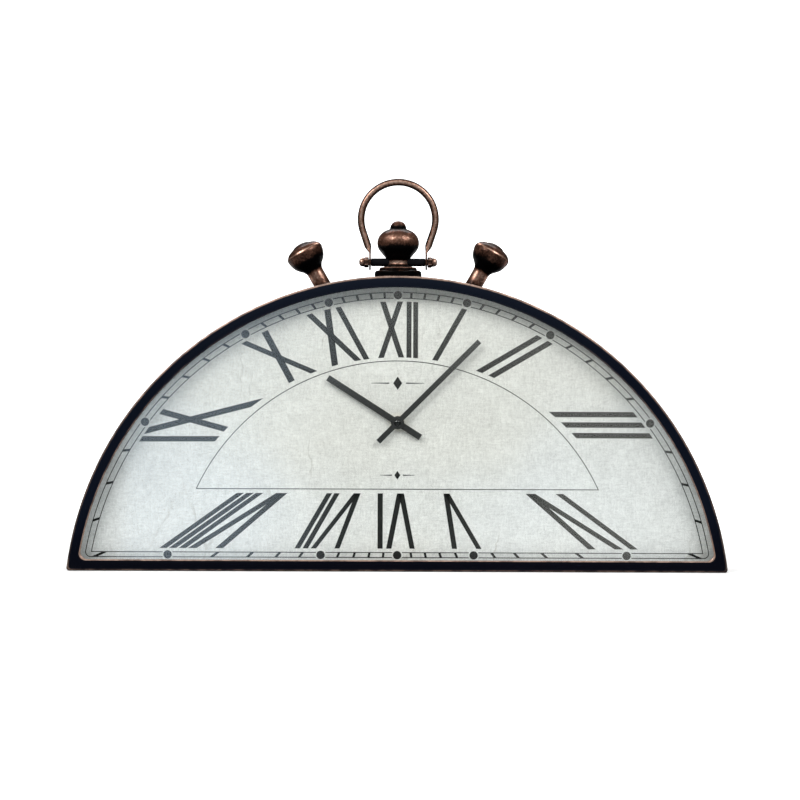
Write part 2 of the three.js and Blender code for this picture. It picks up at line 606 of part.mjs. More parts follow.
// Crown: collar, turned body, button, and the screw that holds them from inside
function buildCrown() {
  const place = placed(clock, 0, 0, CASE_TOP_Z);
  const cutter = roundTopCutter(0, -CASE_RADIUS);
  const spigotHole = SPIGOT_RADIUS + SIDE_GAP;
  const collarProfile = [
    [spigotHole, -1],
    [COLLAR_RADIUS - 0.5, -1],
    [COLLAR_RADIUS, 0.5],
    [COLLAR_RADIUS, COLLAR_HEIGHT - 1.6],
    [COLLAR_RADIUS - 0.4, COLLAR_HEIGHT - 0.6],
    [COLLAR_RADIUS - 1.4, COLLAR_HEIGHT],
    [spigotHole, COLLAR_HEIGHT],
    [spigotHole, -1],
  ];
  add(place, "crown_collar", cut(turned("z", collarProfile), cutter), COPPER);

  const shoulder = COLLAR_HEIGHT + SEAT_GAP;
  const pinHole = BUTTON_PIN_RADIUS + RUNNING_GAP;
  const bulge = CROWN_HEIGHT - shoulder;
  const crownProfile = [
    [0, 2 * SIDE_GAP],
    [SPIGOT_RADIUS, 2 * SIDE_GAP],
    [SPIGOT_RADIUS, shoulder],
    [CROWN_RADIUS * 0.87, shoulder],
    [CROWN_RADIUS * 0.914, shoulder + 1],
    [CROWN_RADIUS * 0.85, shoulder + 2.4],
    [CROWN_RADIUS * 0.66, shoulder + 3],
    [NECK_RADIUS, shoulder + 4.4],
    [NECK_RADIUS, shoulder + bulge * 0.25],
    [CROWN_RADIUS * 0.567, shoulder + bulge * 0.283],
    [CROWN_RADIUS * 0.764, shoulder + bulge * 0.408],
    [CROWN_RADIUS * 0.936, shoulder + bulge * 0.516],
    [CROWN_RADIUS, shoulder + bulge * 0.66],
    [CROWN_RADIUS * 0.93, shoulder + bulge * 0.805],
    [CROWN_RADIUS * 0.75, shoulder + bulge * 0.91],
    [CROWN_RADIUS * 0.42, CROWN_HEIGHT],
    [pinHole, CROWN_HEIGHT],
    [pinHole, CROWN_HEIGHT - BUTTON_PIN_LENGTH - SIDE_GAP],
    [0, CROWN_HEIGHT - BUTTON_PIN_LENGTH - SIDE_GAP],
  ];
  const boltHole = rod("x", PIVOT_RADIUS + 1.5 * RUNNING_GAP, -CROWN_RADIUS - 5, CROWN_RADIUS + 5);
  const threadHole = rod("z", CROWN_SCREW_RADIUS + 2 * RUNNING_GAP, -1, CROWN_SCREW_REACH + SIDE_GAP);
  const crown = cut(turned("z", crownProfile), boltHole.translate(0, 0, PIVOT_HEIGHT), threadHole);
  add(place, "crown", crown, COPPER);

  const seat = CROWN_HEIGHT + SEAT_GAP;
  const buttonProfile = [
    [0, CROWN_HEIGHT - BUTTON_PIN_LENGTH],
    [BUTTON_PIN_RADIUS, CROWN_HEIGHT - BUTTON_PIN_LENGTH],
    [BUTTON_PIN_RADIUS, seat],
    [BUTTON_RADIUS * 0.92, seat],
    [BUTTON_RADIUS, seat + BUTTON_HEIGHT * 0.08],
    [BUTTON_RADIUS * 0.99, seat + BUTTON_HEIGHT * 0.24],
    [BUTTON_RADIUS * 0.92, seat + BUTTON_HEIGHT * 0.46],
    [BUTTON_RADIUS * 0.76, seat + BUTTON_HEIGHT * 0.7],
    [BUTTON_RADIUS * 0.5, seat + BUTTON_HEIGHT * 0.89],
    [BUTTON_RADIUS * 0.22, seat + BUTTON_HEIGHT * 0.98],
    [0, seat + BUTTON_HEIGHT],
  ];
  add(place, "crown_button", turned("z", buttonProfile, SMALL_STEPS), COPPER);
  add(place, "crown_screw", clampScrew(-CASE_WALL - SIDE_GAP, CROWN_SCREW_REACH), STEEL);
}

// A screw driven upwards from inside the case; its head lies just under the given height
function clampScrew(headTop, reach) {
  const profile = [
    [0, headTop - CROWN_SCREW_HEAD_HEIGHT],
    [CROWN_SCREW_HEAD * 0.8, headTop - CROWN_SCREW_HEAD_HEIGHT],
    [CROWN_SCREW_HEAD, headTop - CROWN_SCREW_HEAD_HEIGHT * 0.5],
    [CROWN_SCREW_HEAD, headTop],
    [CROWN_SCREW_RADIUS, headTop],
    [CROWN_SCREW_RADIUS, reach],
    [0, reach],
  ];
  return turned("z", profile, SMALL_STEPS);
}

// The bow's rod: up one straight leg, round the ring and down the other leg
class BowLine extends THREE.Curve {
  constructor() {
    super();
    this.centre = new THREE.Vector3(0, 0, BOW_RING_HEIGHT);
    const toFoot = Math.hypot(BOW_EYE_X, BOW_RING_HEIGHT - BOW_LEG_FOOT);
    const footBelow = Math.atan2(BOW_RING_HEIGHT - BOW_LEG_FOOT, BOW_EYE_X);
    this.below = footBelow - Math.acos(BOW_RADIUS / toFoot);
    this.leg = Math.sqrt(toFoot ** 2 - BOW_RADIUS ** 2);
    this.round = BOW_RADIUS * (Math.PI + 2 * this.below);
  }

  onRing(angle) {
    const offset = new THREE.Vector3(Math.cos(angle), 0, Math.sin(angle));
    return offset.multiplyScalar(BOW_RADIUS).add(this.centre);
  }

  getPoint(t) {
    const travelled = t * (2 * this.leg + this.round);
    const along = Math.min(travelled, 2 * this.leg + this.round - travelled);
    const side = t < 0.5 ? -1 : 1;
    const angle = Math.max(along - this.leg, 0) / BOW_RADIUS - this.below;
    const point = this.onRing(angle);
    const foot = new THREE.Vector3(BOW_EYE_X, 0, BOW_LEG_FOOT);
    if (along < this.leg) point.lerp(foot, 1 - along / this.leg);
    point.x *= side;
    return point;
  }
}

function buildBow() {
  const place = placed(clock, 0, 0, CASE_TOP_Z + PIVOT_HEIGHT);
  const section = new THREE.Shape(circle(0, 0, BOW_ROD_RADIUS, PIN_STEPS));
  const sweep = { steps: 40, extrudePath: new BowLine(), bevelEnabled: false };
  const rodSolid = new THREE.ExtrudeGeometry(section, sweep);
  const eye = [
    ...arc(0, 0, BOW_EYE_RADIUS, Math.PI, 2 * Math.PI, 10),
    new THREE.Vector2(BOW_EYE_RADIUS, BOW_EYE_RADIUS * 0.5),
    new THREE.Vector2(BOW_ROD_RADIUS, BOW_LEG_FOOT + 4),
    new THREE.Vector2(-BOW_ROD_RADIUS, BOW_LEG_FOOT + 4),
    new THREE.Vector2(-BOW_EYE_RADIUS, BOW_EYE_RADIUS * 0.5),
  ];
  const half = BOW_EYE_THICKNESS / 2;
  const eyes = [-1, 1].map((side) => {
    return plate(eye, -half, half).rotateZ(Math.PI / 2).translate(side * BOW_EYE_X, 0, 0);
  });
  const span = BOW_EYE_X + 10;
  const hole = rod("x", PIVOT_RADIUS + 3 * RUNNING_GAP, -span, span);
  add(place, "bow", cut(join(rodSolid, ...eyes), hole), COPPER);

  const nutInner = BOW_EYE_X + half + SIDE_GAP;
  const boltEnd = nutInner + CAP_NUT_BORE_DEPTH - SIDE_GAP;
  add(place, "pivot_bolt", rod("x", PIVOT_RADIUS, -boltEnd, boltEnd), STEEL);
  [-1, 1].forEach((side) => {
    const domeRadius = CAP_NUT_RADIUS * 0.8;
    const dome = [
      [0, CAP_NUT_LENGTH * 0.4],
      [domeRadius, CAP_NUT_LENGTH * 0.4],
      [domeRadius, CAP_NUT_LENGTH * 0.68],
      [domeRadius * 0.82, CAP_NUT_LENGTH * 0.87],
      [domeRadius * 0.45, CAP_NUT_LENGTH * 0.97],
      [0, CAP_NUT_LENGTH],
    ];
    const hexagon = rod("x", CAP_NUT_RADIUS, 0, CAP_NUT_LENGTH * 0.46, 6);
    const bore = rod("x", PIVOT_RADIUS + 1.5 * RUNNING_GAP, -1, CAP_NUT_BORE_DEPTH);
    const nut = cut(join(hexagon, turned("x", dome, SMALL_STEPS)), bore);
    if (side < 0) nut.rotateZ(Math.PI);
    const name = side < 0 ? "cap_nut_left" : "cap_nut_right";
    add(placed(place, side * nutInner, 0, 0), name, nut, COPPER);
  });
}

// Pushers: mushroom knobs that lean outwards, fixed by screws from inside
function pusherFoot(side) {
  const angle = radians(PUSHER_PLACE_DEGREES);
  return { x: side * CASE_RADIUS * Math.sin(angle), z: CASE_CENTRE_Z + CASE_RADIUS * Math.cos(angle) };
}

function buildPushers() {
  [-1, 1].forEach((side) => {
    const { x, z } = pusherFoot(side);
    const place = placed(clock, x, 0, z, side * radians(PUSHER_TILT_DEGREES));
    const lean = radians(PUSHER_TILT_DEGREES - PUSHER_PLACE_DEGREES);
    const cutter = roundTopCutter(side * CASE_RADIUS * Math.sin(lean), -CASE_RADIUS * Math.cos(lean));
    const bore = CROWN_SCREW_RADIUS + 2 * RUNNING_GAP;
    const foot = -PUSHER_STEM_RADIUS;
    const head = (share) => PUSHER_STEM_LENGTH + PUSHER_HEAD_HEIGHT * share;
    const profile = [
      [bore, foot],
      [PUSHER_STEM_RADIUS, foot],
      [PUSHER_STEM_RADIUS, PUSHER_STEM_LENGTH - 2],
      [PUSHER_STEM_RADIUS * 1.24, head(0.1)],
      [PUSHER_HEAD_RADIUS * 0.72, head(0.2)],
      [PUSHER_HEAD_RADIUS * 0.915, head(0.4)],
      [PUSHER_HEAD_RADIUS * 0.985, head(0.54)],
      [PUSHER_HEAD_RADIUS, head(0.61)],
      [PUSHER_HEAD_RADIUS * 0.957, head(0.7)],
      [PUSHER_HEAD_RADIUS * 0.823, head(0.8)],
      [PUSHER_HEAD_RADIUS * 0.645, head(0.9)],
      [PUSHER_HEAD_RADIUS * 0.3, head(0.975)],
      [0, head(1)],
      [0, PUSHER_SCREW_REACH + SIDE_GAP],
      [bore, PUSHER_SCREW_REACH + SIDE_GAP],
      [bore, foot],
    ];
    const word = side < 0 ? "left" : "right";
    add(place, `pusher_${word}`, cut(turned("z", profile), cutter), COPPER);
    const wallBelow = CASE_WALL / Math.cos(lean) + CROWN_SCREW_HEAD * Math.tan(lean) + SIDE_GAP;
    add(place, `pusher_screw_${word}`, clampScrew(-wallBelow, PUSHER_SCREW_REACH), STEEL);
  });
}

// Toothed discs with pointed teeth, the first tooth centred on the phase angle
function toothed(teeth, module, phase, frontY, backY, holes = []) {
  const pitch = (2 * Math.PI) / teeth;
  const root = (teeth / 2 - TOOTH_DEDENDUM) * module;
  const tip = (teeth / 2 + TOOTH_ADDENDUM) * module;
  const tooth = [[root, -TOOTH_ROOT_SHARE], [tip, 0], [root, TOOTH_ROOT_SHARE]];
  const outline = [];
  for (let i = 0; i < teeth; i += 1) {
    tooth.forEach(([radius, share]) => {
      const angle = phase + (i + share / 2) * pitch;
      outline.push(new THREE.Vector2(radius * Math.cos(angle), radius * Math.sin(angle)));
    });
  }
  return plate(outline, frontY, backY, holes);
}

// The phase at which a wheel's gap faces a tooth of the wheel that drives it
function meshed(phase, teeth, bearing, drivenTeeth) {
  const towards = radians(bearing);
  return towards + Math.PI + Math.PI / drivenTeeth - ((phase - towards) * teeth) / drivenTeeth;
}

function along(from, bearing, distance) {
  const angle = radians(bearing);
  return { x: from.x + distance * Math.cos(angle), z: from.z + distance * Math.sin(angle) };
}

// Wheel centres, seen from the front and measured from the dial centre
function wheelPlaces() {
  const centre = { x: 0, z: 0 };
  const motionDistance = (MOTION_MODULE * (CANNON_TEETH + MINUTE_WHEEL_TEETH)) / 2;
  const setDistance = (MOTION_MODULE * (MINUTE_WHEEL_TEETH + SET_PINION_TEETH)) / 2;
  const trainDistance = (teeth) => (TRAIN_MODULE * (teeth + LEAF_COUNT)) / 2;
  const minuteWheel = along(centre, MINUTE_WHEEL_BEARING, motionDistance);
  const setKnob = along(minuteWheel, SET_KNOB_BEARING, setDistance);
  const third = along(centre, THIRD_WHEEL_BEARING, trainDistance(CENTRE_WHEEL_TEETH));
  const fourth = along(third, FOURTH_WHEEL_BEARING, trainDistance(THIRD_WHEEL_TEETH));
  const fifth = along(fourth, FIFTH_WHEEL_BEARING, trainDistance(FOURTH_WHEEL_TEETH));
  const rotor = along(fifth, ROTOR_BEARING, trainDistance(FIFTH_WHEEL_TEETH));
  return { motionDistance, minuteWheel, setKnob, third, fourth, fifth, rotor };
}

// How far the housing reaches from the dial centre: down past the battery, up past the coil
function movementReach() {
  const centreWheelTip = TRAIN_MODULE * (CENTRE_WHEEL_TEETH / 2 + TOOTH_ADDENDUM);
  const bayHeight = 2 * BATTERY_RADIUS + 2 * HOLE_GAP;
  const below = centreWheelTip + TRAIN_ROOM + PARTITION_THICKNESS + bayHeight + MOVEMENT_WALL;
  const slotBottom = wheelPlaces().rotor.z - MAGNET_RADIUS - STATOR_RIM + STATOR_BRIDGE;
  const above = slotBottom + COIL_ROOM + 2 * COIL_RADIUS + SIDE_GAP + MOVEMENT_WALL;
  return { below, above };
}

// Movement: housing, motion work, going train, motor and battery, measured from its front face
function buildMovement() {
  const place = placed(clock, 0, MOVEMENT_FRONT_Y, DIAL_CENTRE_Z);
  const local = (y) => y - MOVEMENT_FRONT_Y;
  const halfWidth = MOVEMENT_WIDTH / 2;
  const { below, above } = movementReach();
  const innerX = halfWidth - MOVEMENT_WALL;
  const floor = MOVEMENT_WALL - below;
  const ceiling = above - MOVEMENT_WALL;
  const coverFront = MOVEMENT_DEPTH + SEAT_GAP;
  const coverBack = coverFront + COVER_THICKNESS;
  const bayTop = floor + 2 * BATTERY_RADIUS + 2 * HOLE_GAP;
  const partitionTop = bayTop + PARTITION_THICKNESS;

  const { motionDistance, minuteWheel, setKnob, third, fourth, fifth, rotor } = wheelPlaces();
  const hourModule = (2 * motionDistance) / (MINUTE_PINION_TEETH + HOUR_WHEEL_TEETH);

  // Levels of the wheels, front to back, each a clear step behind the one before
  const hourLevel = MOVEMENT_WALL + BUSH_FLANGE_THICKNESS + HOLE_GAP;
  const levelStep = WHEEL_THICKNESS + 2 * PINION_OVERHANG + HOLE_GAP;
  const level = (steps) => hourLevel + steps * levelStep;
  const wheelDisc = (teeth, module, phase, front, holes) => {
    return toothed(teeth, module, phase, front, front + WHEEL_THICKNESS, holes);
  };
  const pinionDisc = (teeth, module, phase, front) => {
    return toothed(teeth, module, phase, front - PINION_OVERHANG, front + WHEEL_THICKNESS + PINION_OVERHANG);
  };
  const arbor = (shaft) => {
    const pinFront = MOVEMENT_WALL - PIVOT_PIN_LENGTH;
    const pinBack = coverFront + PIVOT_PIN_LENGTH;
    const profile = [
      [0, pinFront],
      [PIVOT_PIN_RADIUS, pinFront],
      [PIVOT_PIN_RADIUS, MOVEMENT_WALL + SEAT_GAP],
      [shaft, MOVEMENT_WALL + SEAT_GAP],
      [shaft, coverFront - SEAT_GAP],
      [PIVOT_PIN_RADIUS, coverFront - SEAT_GAP],
      [PIVOT_PIN_RADIUS, pinBack],
      [0, pinBack],
    ];
    return turned("y", profile, PIN_STEPS);
  };
  const pinHoles = (front, back) => {
    const radius = PIVOT_PIN_RADIUS + RUNNING_GAP;
    const centres = [minuteWheel, third, fourth, fifth, rotor];
    return centres.map(({ x, z }) => rod("y", radius, front, back, PIN_STEPS).translate(x, 0, z));
  };

  // Housing
  const shell = block(-halfWidth, halfWidth, 0, MOVEMENT_DEPTH, -below, above);
  const upperRoom = block(-innerX, innerX, MOVEMENT_WALL, MOVEMENT_DEPTH + 1, partitionTop, ceiling);
  const bay = block(-innerX, innerX, MOVEMENT_WALL, MOVEMENT_DEPTH + 1, floor, bayTop);
  const notchInner = innerX - 3 * CONTACT_THICKNESS;
  const notches = [-1, 1].map((side) => {
    const ends = [side * notchInner, side * innerX].sort((a, b) => a - b);
    return block(ends[0], ends[1], MOVEMENT_DEPTH * 0.25, MOVEMENT_DEPTH + 1, bayTop - 1, partitionTop + 1);
  });
  const frontHole = rod("y", BUSH_RADIUS + SIDE_GAP, -1, MOVEMENT_WALL + 1);
  const frontPins = pinHoles(MOVEMENT_WALL - PIVOT_PIN_LENGTH - SEAT_GAP, MOVEMENT_WALL + 1);
  const setPinHole = SET_STEM_RADIUS * 0.6 + RUNNING_GAP;
  const setFrontHole = rod("y", setPinHole, MOVEMENT_WALL - 1, MOVEMENT_WALL + 1, PIN_STEPS);
  const frontCuts = [frontHole, ...frontPins, setFrontHole.translate(setKnob.x, 0, setKnob.z)];
  add(place, "movement_case", cut(shell, upperRoom, bay, ...notches, ...frontCuts), BLACK_PLASTIC);
  const cover = block(-halfWidth, halfWidth, coverFront, coverBack, bayTop, above);
  const backPins = pinHoles(coverFront - 1, coverFront + PIVOT_PIN_LENGTH + SEAT_GAP);
  const arborHole = rod("y", MINUTE_TIP_RADIUS + RUNNING_GAP, coverFront - 1, coverBack + 1);
  const setHole = rod("y", SET_STEM_RADIUS + RUNNING_GAP, coverFront - 1, coverBack + 1);
  const coverCuts = [...backPins, arborHole, setHole.translate(setKnob.x, 0, setKnob.z)];
  add(place, "movement_cover", cut(cover, ...coverCuts), BLACK_PLASTIC);

  // Bush, nut and rubber washer that hold the movement on the dial board
  const tubeHole = HOUR_TUBE_RADIUS + RUNNING_GAP;
  const flangeFront = MOVEMENT_WALL + SEAT_GAP;
  const bushProfile = [
    [tubeHole, local(BUSH_FRONT_Y)],
    [BUSH_RADIUS, local(BUSH_FRONT_Y)],
    [BUSH_RADIUS, flangeFront],
    [BUSH_FLANGE_RADIUS, flangeFront],
    [BUSH_FLANGE_RADIUS, flangeFront + BUSH_FLANGE_THICKNESS],
    [tubeHole, flangeFront + BUSH_FLANGE_THICKNESS],
    [tubeHole, local(BUSH_FRONT_Y)],
  ];
  add(place, "centre_bush", turned("y", bushProfile, SMALL_STEPS), BRASS);
  const nutHole = BUSH_RADIUS + RUNNING_GAP;
  const nut = tube("y", nutHole, MOUNTING_NUT_RADIUS, local(NUT_FRONT_Y), local(NUT_BACK_Y), TURNED_STEPS);
  add(place, "mounting_nut", nut, BRASS);
  const rubberFront = local(RUBBER_FRONT_Y);
  const rubberBack = rubberFront + RUBBER_THICKNESS;
  const washer = tube("y", BUSH_RADIUS + SIDE_GAP, RUBBER_RADIUS, rubberFront, rubberBack);
  add(place, "rubber_washer", washer, RUBBER);

  // Motion work
  const minutePhase = meshed(0, CANNON_TEETH, MINUTE_WHEEL_BEARING, MINUTE_WHEEL_TEETH);
  const hourPhase = meshed(0, MINUTE_PINION_TEETH, MINUTE_WHEEL_BEARING + 180, HOUR_WHEEL_TEETH);
  const setPhase = meshed(minutePhase, MINUTE_WHEEL_TEETH, SET_KNOB_BEARING, SET_PINION_TEETH);
  const arborBore = MINUTE_ARBOR_RADIUS + RUNNING_GAP;
  const hourTubeBack = level(0) + WHEEL_THICKNESS;
  const hourTube = tube("y", arborBore, HOUR_TUBE_RADIUS, local(HOUR_TUBE_FRONT_Y), hourTubeBack);
  const hourHole = circle(0, 0, HOUR_TUBE_RADIUS * 0.9, SMALL_STEPS);
  const hourDisc = wheelDisc(HOUR_WHEEL_TEETH, hourModule, hourPhase, level(0), [hourHole]);
  add(place, "hour_wheel", join(hourTube, hourDisc), WHITE_PLASTIC);
  const tipBack = local(MINUTE_HAND_BACK_Y);
  const minuteProfile = [
    [0, local(HAND_NUT_FRONT_Y) + HAND_NUT_HEIGHT * 0.5],
    [MINUTE_TIP_RADIUS, local(HAND_NUT_FRONT_Y) + HAND_NUT_HEIGHT * 0.5],
    [MINUTE_TIP_RADIUS, tipBack + SEAT_GAP],
    [MINUTE_ARBOR_RADIUS, tipBack + SEAT_GAP],
    [MINUTE_ARBOR_RADIUS, level(1) + WHEEL_THICKNESS],
    [MINUTE_TIP_RADIUS, level(1) + WHEEL_THICKNESS],
    [MINUTE_TIP_RADIUS, coverBack - SIDE_GAP],
    [0, coverBack - SIDE_GAP],
  ];
  const cannon = pinionDisc(CANNON_TEETH, MOTION_MODULE, 0, level(1));
  add(place, "minute_arbor", join(turned("y", minuteProfile, SMALL_STEPS), cannon), BRASS);
  const minuteDisc = wheelDisc(MINUTE_WHEEL_TEETH, MOTION_MODULE, minutePhase, level(1));
  const minutePinion = pinionDisc(MINUTE_PINION_TEETH, hourModule, 0, level(0));
  const minutePlace = placed(place, minuteWheel.x, 0, minuteWheel.z);
  add(minutePlace, "minute_wheel", join(arbor(ARBOR_RADIUS), minuteDisc, minutePinion), WHITE_PLASTIC);
  const knobFront = coverBack + SIDE_GAP;
  const knobBack = knobFront + SET_KNOB_HEIGHT;
  const stemProfile = [
    [0, MOVEMENT_WALL - PIVOT_PIN_LENGTH],
    [SET_STEM_RADIUS * 0.6, MOVEMENT_WALL - PIVOT_PIN_LENGTH],
    [SET_STEM_RADIUS * 0.6, MOVEMENT_WALL + SEAT_GAP],
    [SET_STEM_RADIUS, MOVEMENT_WALL + SEAT_GAP],
    [SET_STEM_RADIUS, knobFront],
    [SET_KNOB_RADIUS, knobFront],
    [SET_KNOB_RADIUS, knobBack - 0.5],
    [SET_KNOB_RADIUS - 0.5, knobBack],
    [0, knobBack],
  ];
  const setPinion = pinionDisc(SET_PINION_TEETH, MOTION_MODULE, setPhase, level(1));
  const knob = join(turned("y", stemProfile, SMALL_STEPS), setPinion);
  add(placed(place, setKnob.x, 0, setKnob.z), "set_knob", knob, WHITE_PLASTIC);

  // Going train, from the centre wheel on its slipping seat to the motor's rotor
  const fifthPhase = meshed(0, LEAF_COUNT, ROTOR_BEARING + 180, FIFTH_WHEEL_TEETH);
  const fourthPhase = meshed(0, LEAF_COUNT, FIFTH_WHEEL_BEARING + 180, FOURTH_WHEEL_TEETH);
  const thirdPhase = meshed(0, LEAF_COUNT, FOURTH_WHEEL_BEARING + 180, THIRD_WHEEL_TEETH);
  const centrePhase = meshed(0, LEAF_COUNT, THIRD_WHEEL_BEARING + 180, CENTRE_WHEEL_TEETH);
  const slipHole = circle(0, 0, MINUTE_TIP_RADIUS + RUNNING_GAP, SMALL_STEPS);
  const centreDisc = wheelDisc(CENTRE_WHEEL_TEETH, TRAIN_MODULE, centrePhase, level(2), [slipHole]);
  add(place, "centre_wheel", centreDisc, BRASS);
  const trainWheel = (name, at, teeth, phase, wheelLevel, leafLevel) => {
    const disc = wheelDisc(teeth, TRAIN_MODULE, phase, level(wheelLevel));
    const leaves = pinionDisc(LEAF_COUNT, TRAIN_MODULE, 0, level(leafLevel));
    add(placed(place, at.x, 0, at.z), name, join(arbor(ARBOR_RADIUS), disc, leaves), WHITE_PLASTIC);
  };
  trainWheel("third_wheel", third, THIRD_WHEEL_TEETH, thirdPhase, 3, 2);
  trainWheel("fourth_wheel", fourth, FOURTH_WHEEL_TEETH, fourthPhase, 4, 3);
  trainWheel("fifth_wheel", fifth, FIFTH_WHEEL_TEETH, fifthPhase, 5, 4);
  const magnetFront = level(1);
  const magnetBack = magnetFront + MAGNET_LENGTH;
  const magnet = rod("y", MAGNET_RADIUS, magnetFront, magnetBack);
  const rotorLeaves = pinionDisc(LEAF_COUNT, TRAIN_MODULE, 0, level(5));
  add(placed(place, rotor.x, 0, rotor.z), "rotor", join(arbor(ARBOR_RADIUS), magnet, rotorLeaves), STEEL);

  // Motor iron and coil beside the rotor, then the circuit card, crystal, contacts and battery
  const statorFront = (magnetFront + magnetBack - STATOR_THICKNESS) / 2;
  const statorBack = statorFront + STATOR_THICKNESS;
  const statorLeft = rotor.x - MAGNET_RADIUS - 1.5;
  const statorRight = innerX - 2.5;
  const statorBottom = rotor.z - MAGNET_RADIUS - STATOR_RIM;
  const statorTop = ceiling - SIDE_GAP;
  const coilLeft = third.x + 5;
  const coilRight = statorRight - 3.5;
  const coilZ = statorTop - COIL_RADIUS;
  const coilY = statorBack + SEAT_GAP + COIL_CORE_RADIUS;
  const iron = plate(rectangle(statorLeft, statorBottom, statorRight, statorTop), statorFront, statorBack);
  const slotBottom = statorBottom + STATOR_BRIDGE;
  const slot = block(coilLeft - 1, coilRight + 1, 0, MOVEMENT_DEPTH, slotBottom, statorTop + 1);
  const rotorHole = rod("y", MAGNET_RADIUS + HOLE_GAP, 0, MOVEMENT_DEPTH).translate(rotor.x, 0, rotor.z);
  add(place, "stator", cut(iron, slot, rotorHole), STEEL);
  const winding = rod("x", COIL_RADIUS, coilLeft, coilRight);
  const core = rod("x", COIL_CORE_RADIUS, coilLeft - 3, coilRight + 3, PIN_STEPS);
  add(placed(place, 0, coilY, coilZ), "coil", join(winding, core), COPPER_WIRE);

  const cardBack = coverFront - 2 * SIDE_GAP;
  const cardFront = cardBack - BOARD_CARD_THICKNESS;
  const cardEnd = innerX - CONTACT_THICKNESS - 3 * SEAT_GAP;
  const cardBottom = partitionTop + SEAT_GAP;
  const card = block(-cardEnd, cardEnd, cardFront, cardBack, cardBottom, cardBottom + BOARD_CARD_WIDTH);
  add(place, "circuit_board", card, GREEN_CARD);
  const crystalY = cardFront - SEAT_GAP - CRYSTAL_RADIUS;
  const crystalPlace = placed(place, -innerX * 0.6, crystalY, cardBottom + BOARD_CARD_WIDTH / 2);
  add(crystalPlace, "crystal", rod("x", CRYSTAL_RADIUS, 0, CRYSTAL_LENGTH, PIN_STEPS), STEEL);
  const batteryZ = floor + HOLE_GAP + BATTERY_RADIUS;
  const contactOuter = innerX - SEAT_GAP;
  const contactInner = contactOuter - CONTACT_THICKNESS;
  const contactTop = cardBottom + BOARD_CARD_WIDTH * 0.7;
  const contactBack = cardBack - SEAT_GAP;
  const contactFront = MOVEMENT_DEPTH * 0.3;
  const contactBottom = batteryZ - BATTERY_RADIUS * 0.6;
  const positive = block(contactInner, contactOuter, contactFront, contactBack, contactBottom, contactTop);
  add(place, "contact_positive", positive, STEEL);
  const negative = block(-contactOuter, -contactInner, contactFront, contactBack, contactBottom, contactTop);
  add(place, "contact_negative", negative, STEEL);
  const batteryProfile = [
    [0, -BATTERY_LENGTH / 2],
    [BATTERY_RADIUS - 0.6, -BATTERY_LENGTH / 2],
    [BATTERY_RADIUS, -BATTERY_LENGTH / 2 + 0.6],
    [BATTERY_RADIUS, BATTERY_LENGTH / 2 - BATTERY_NUB_LENGTH - 0.6],
    [BATTERY_RADIUS - 0.6, BATTERY_LENGTH / 2 - BATTERY_NUB_LENGTH],
    [BATTERY_NUB_RADIUS, BATTERY_LENGTH / 2 - BATTERY_NUB_LENGTH],
    [BATTERY_NUB_RADIUS, BATTERY_LENGTH / 2],
    [0, BATTERY_LENGTH / 2],
  ];
  const batteryPlace = placed(place, 0, MOVEMENT_WALL + SIDE_GAP + BATTERY_RADIUS, batteryZ);
  add(batteryPlace, "battery", turned("x", batteryProfile), BATTERY_WRAP);
}

buildCase();
buildBack();
buildDial();
buildHands();
buildCrown();
buildBow();
buildPushers();
buildMovement();

export default clock;
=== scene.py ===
import json
import math

import bmesh
import bpy
import numpy as np
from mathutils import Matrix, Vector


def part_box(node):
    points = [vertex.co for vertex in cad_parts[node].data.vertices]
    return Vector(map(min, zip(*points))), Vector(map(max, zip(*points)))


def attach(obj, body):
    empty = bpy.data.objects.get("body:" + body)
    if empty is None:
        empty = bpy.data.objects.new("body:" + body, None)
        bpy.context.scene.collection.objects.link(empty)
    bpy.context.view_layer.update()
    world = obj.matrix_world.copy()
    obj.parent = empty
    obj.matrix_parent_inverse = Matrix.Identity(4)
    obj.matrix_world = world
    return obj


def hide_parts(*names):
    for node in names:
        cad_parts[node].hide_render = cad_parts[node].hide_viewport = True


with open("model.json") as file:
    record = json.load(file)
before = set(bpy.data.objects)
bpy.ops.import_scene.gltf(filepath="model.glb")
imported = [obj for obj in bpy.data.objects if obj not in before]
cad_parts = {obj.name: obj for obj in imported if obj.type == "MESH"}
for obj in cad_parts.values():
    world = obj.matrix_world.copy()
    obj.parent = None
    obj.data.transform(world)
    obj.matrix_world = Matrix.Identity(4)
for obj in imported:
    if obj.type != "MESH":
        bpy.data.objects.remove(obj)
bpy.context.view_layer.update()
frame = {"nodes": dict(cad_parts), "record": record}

# Sizes in millimetres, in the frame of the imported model: x to the right, -y to the front, z up
MM = 0.001
CASE_RADIUS = 250.0
CASE_CENTRE_Z = -28.0
CASE_TOP_Z = 222.0
FRONT_Y = -31.0
BACK_Y = 31.0
CASE_WALL = 1.5
CASE_CORNER = 2.0
BEZEL_WIDTH = 8.5
BEZEL_CORNER = 5.5
BEZEL_BACK_Y = -29.0
RIM_BACK_Y = -24.0
PANEL_GAP = 0.3
PANEL_CORNER = 1.0
WINDOW_HALF = 38.0
STACK_INSET = 3.3
STACK_CORNER = 2.0
PAPER_FRONT_Y = -19.5
PAPER_BACK_Y = -19.2
SHAFT_HOLE_RADIUS = 3.9
DIAL_CENTRE_Z = 111.7
DIAL_CENTRE = np.array([0, DIAL_CENTRE_Z])
HAND_TAIL = 20.5
HAND_HUB_RADIUS = 5.0
COLLAR_RADIUS = 17.95
COLLAR_BORE = 6.0
SEAT_GAP = 0.3
PIVOT_Z = 234.0
PIVOT_RADIUS = 2.5
SLEEVE_RADIUS = 3.1
SLEEVE_END_X = 20.6
CAP_NUT_X = 22.5
SET_KNOB_X = 19.9368
SET_KNOB_Z = 112.57046

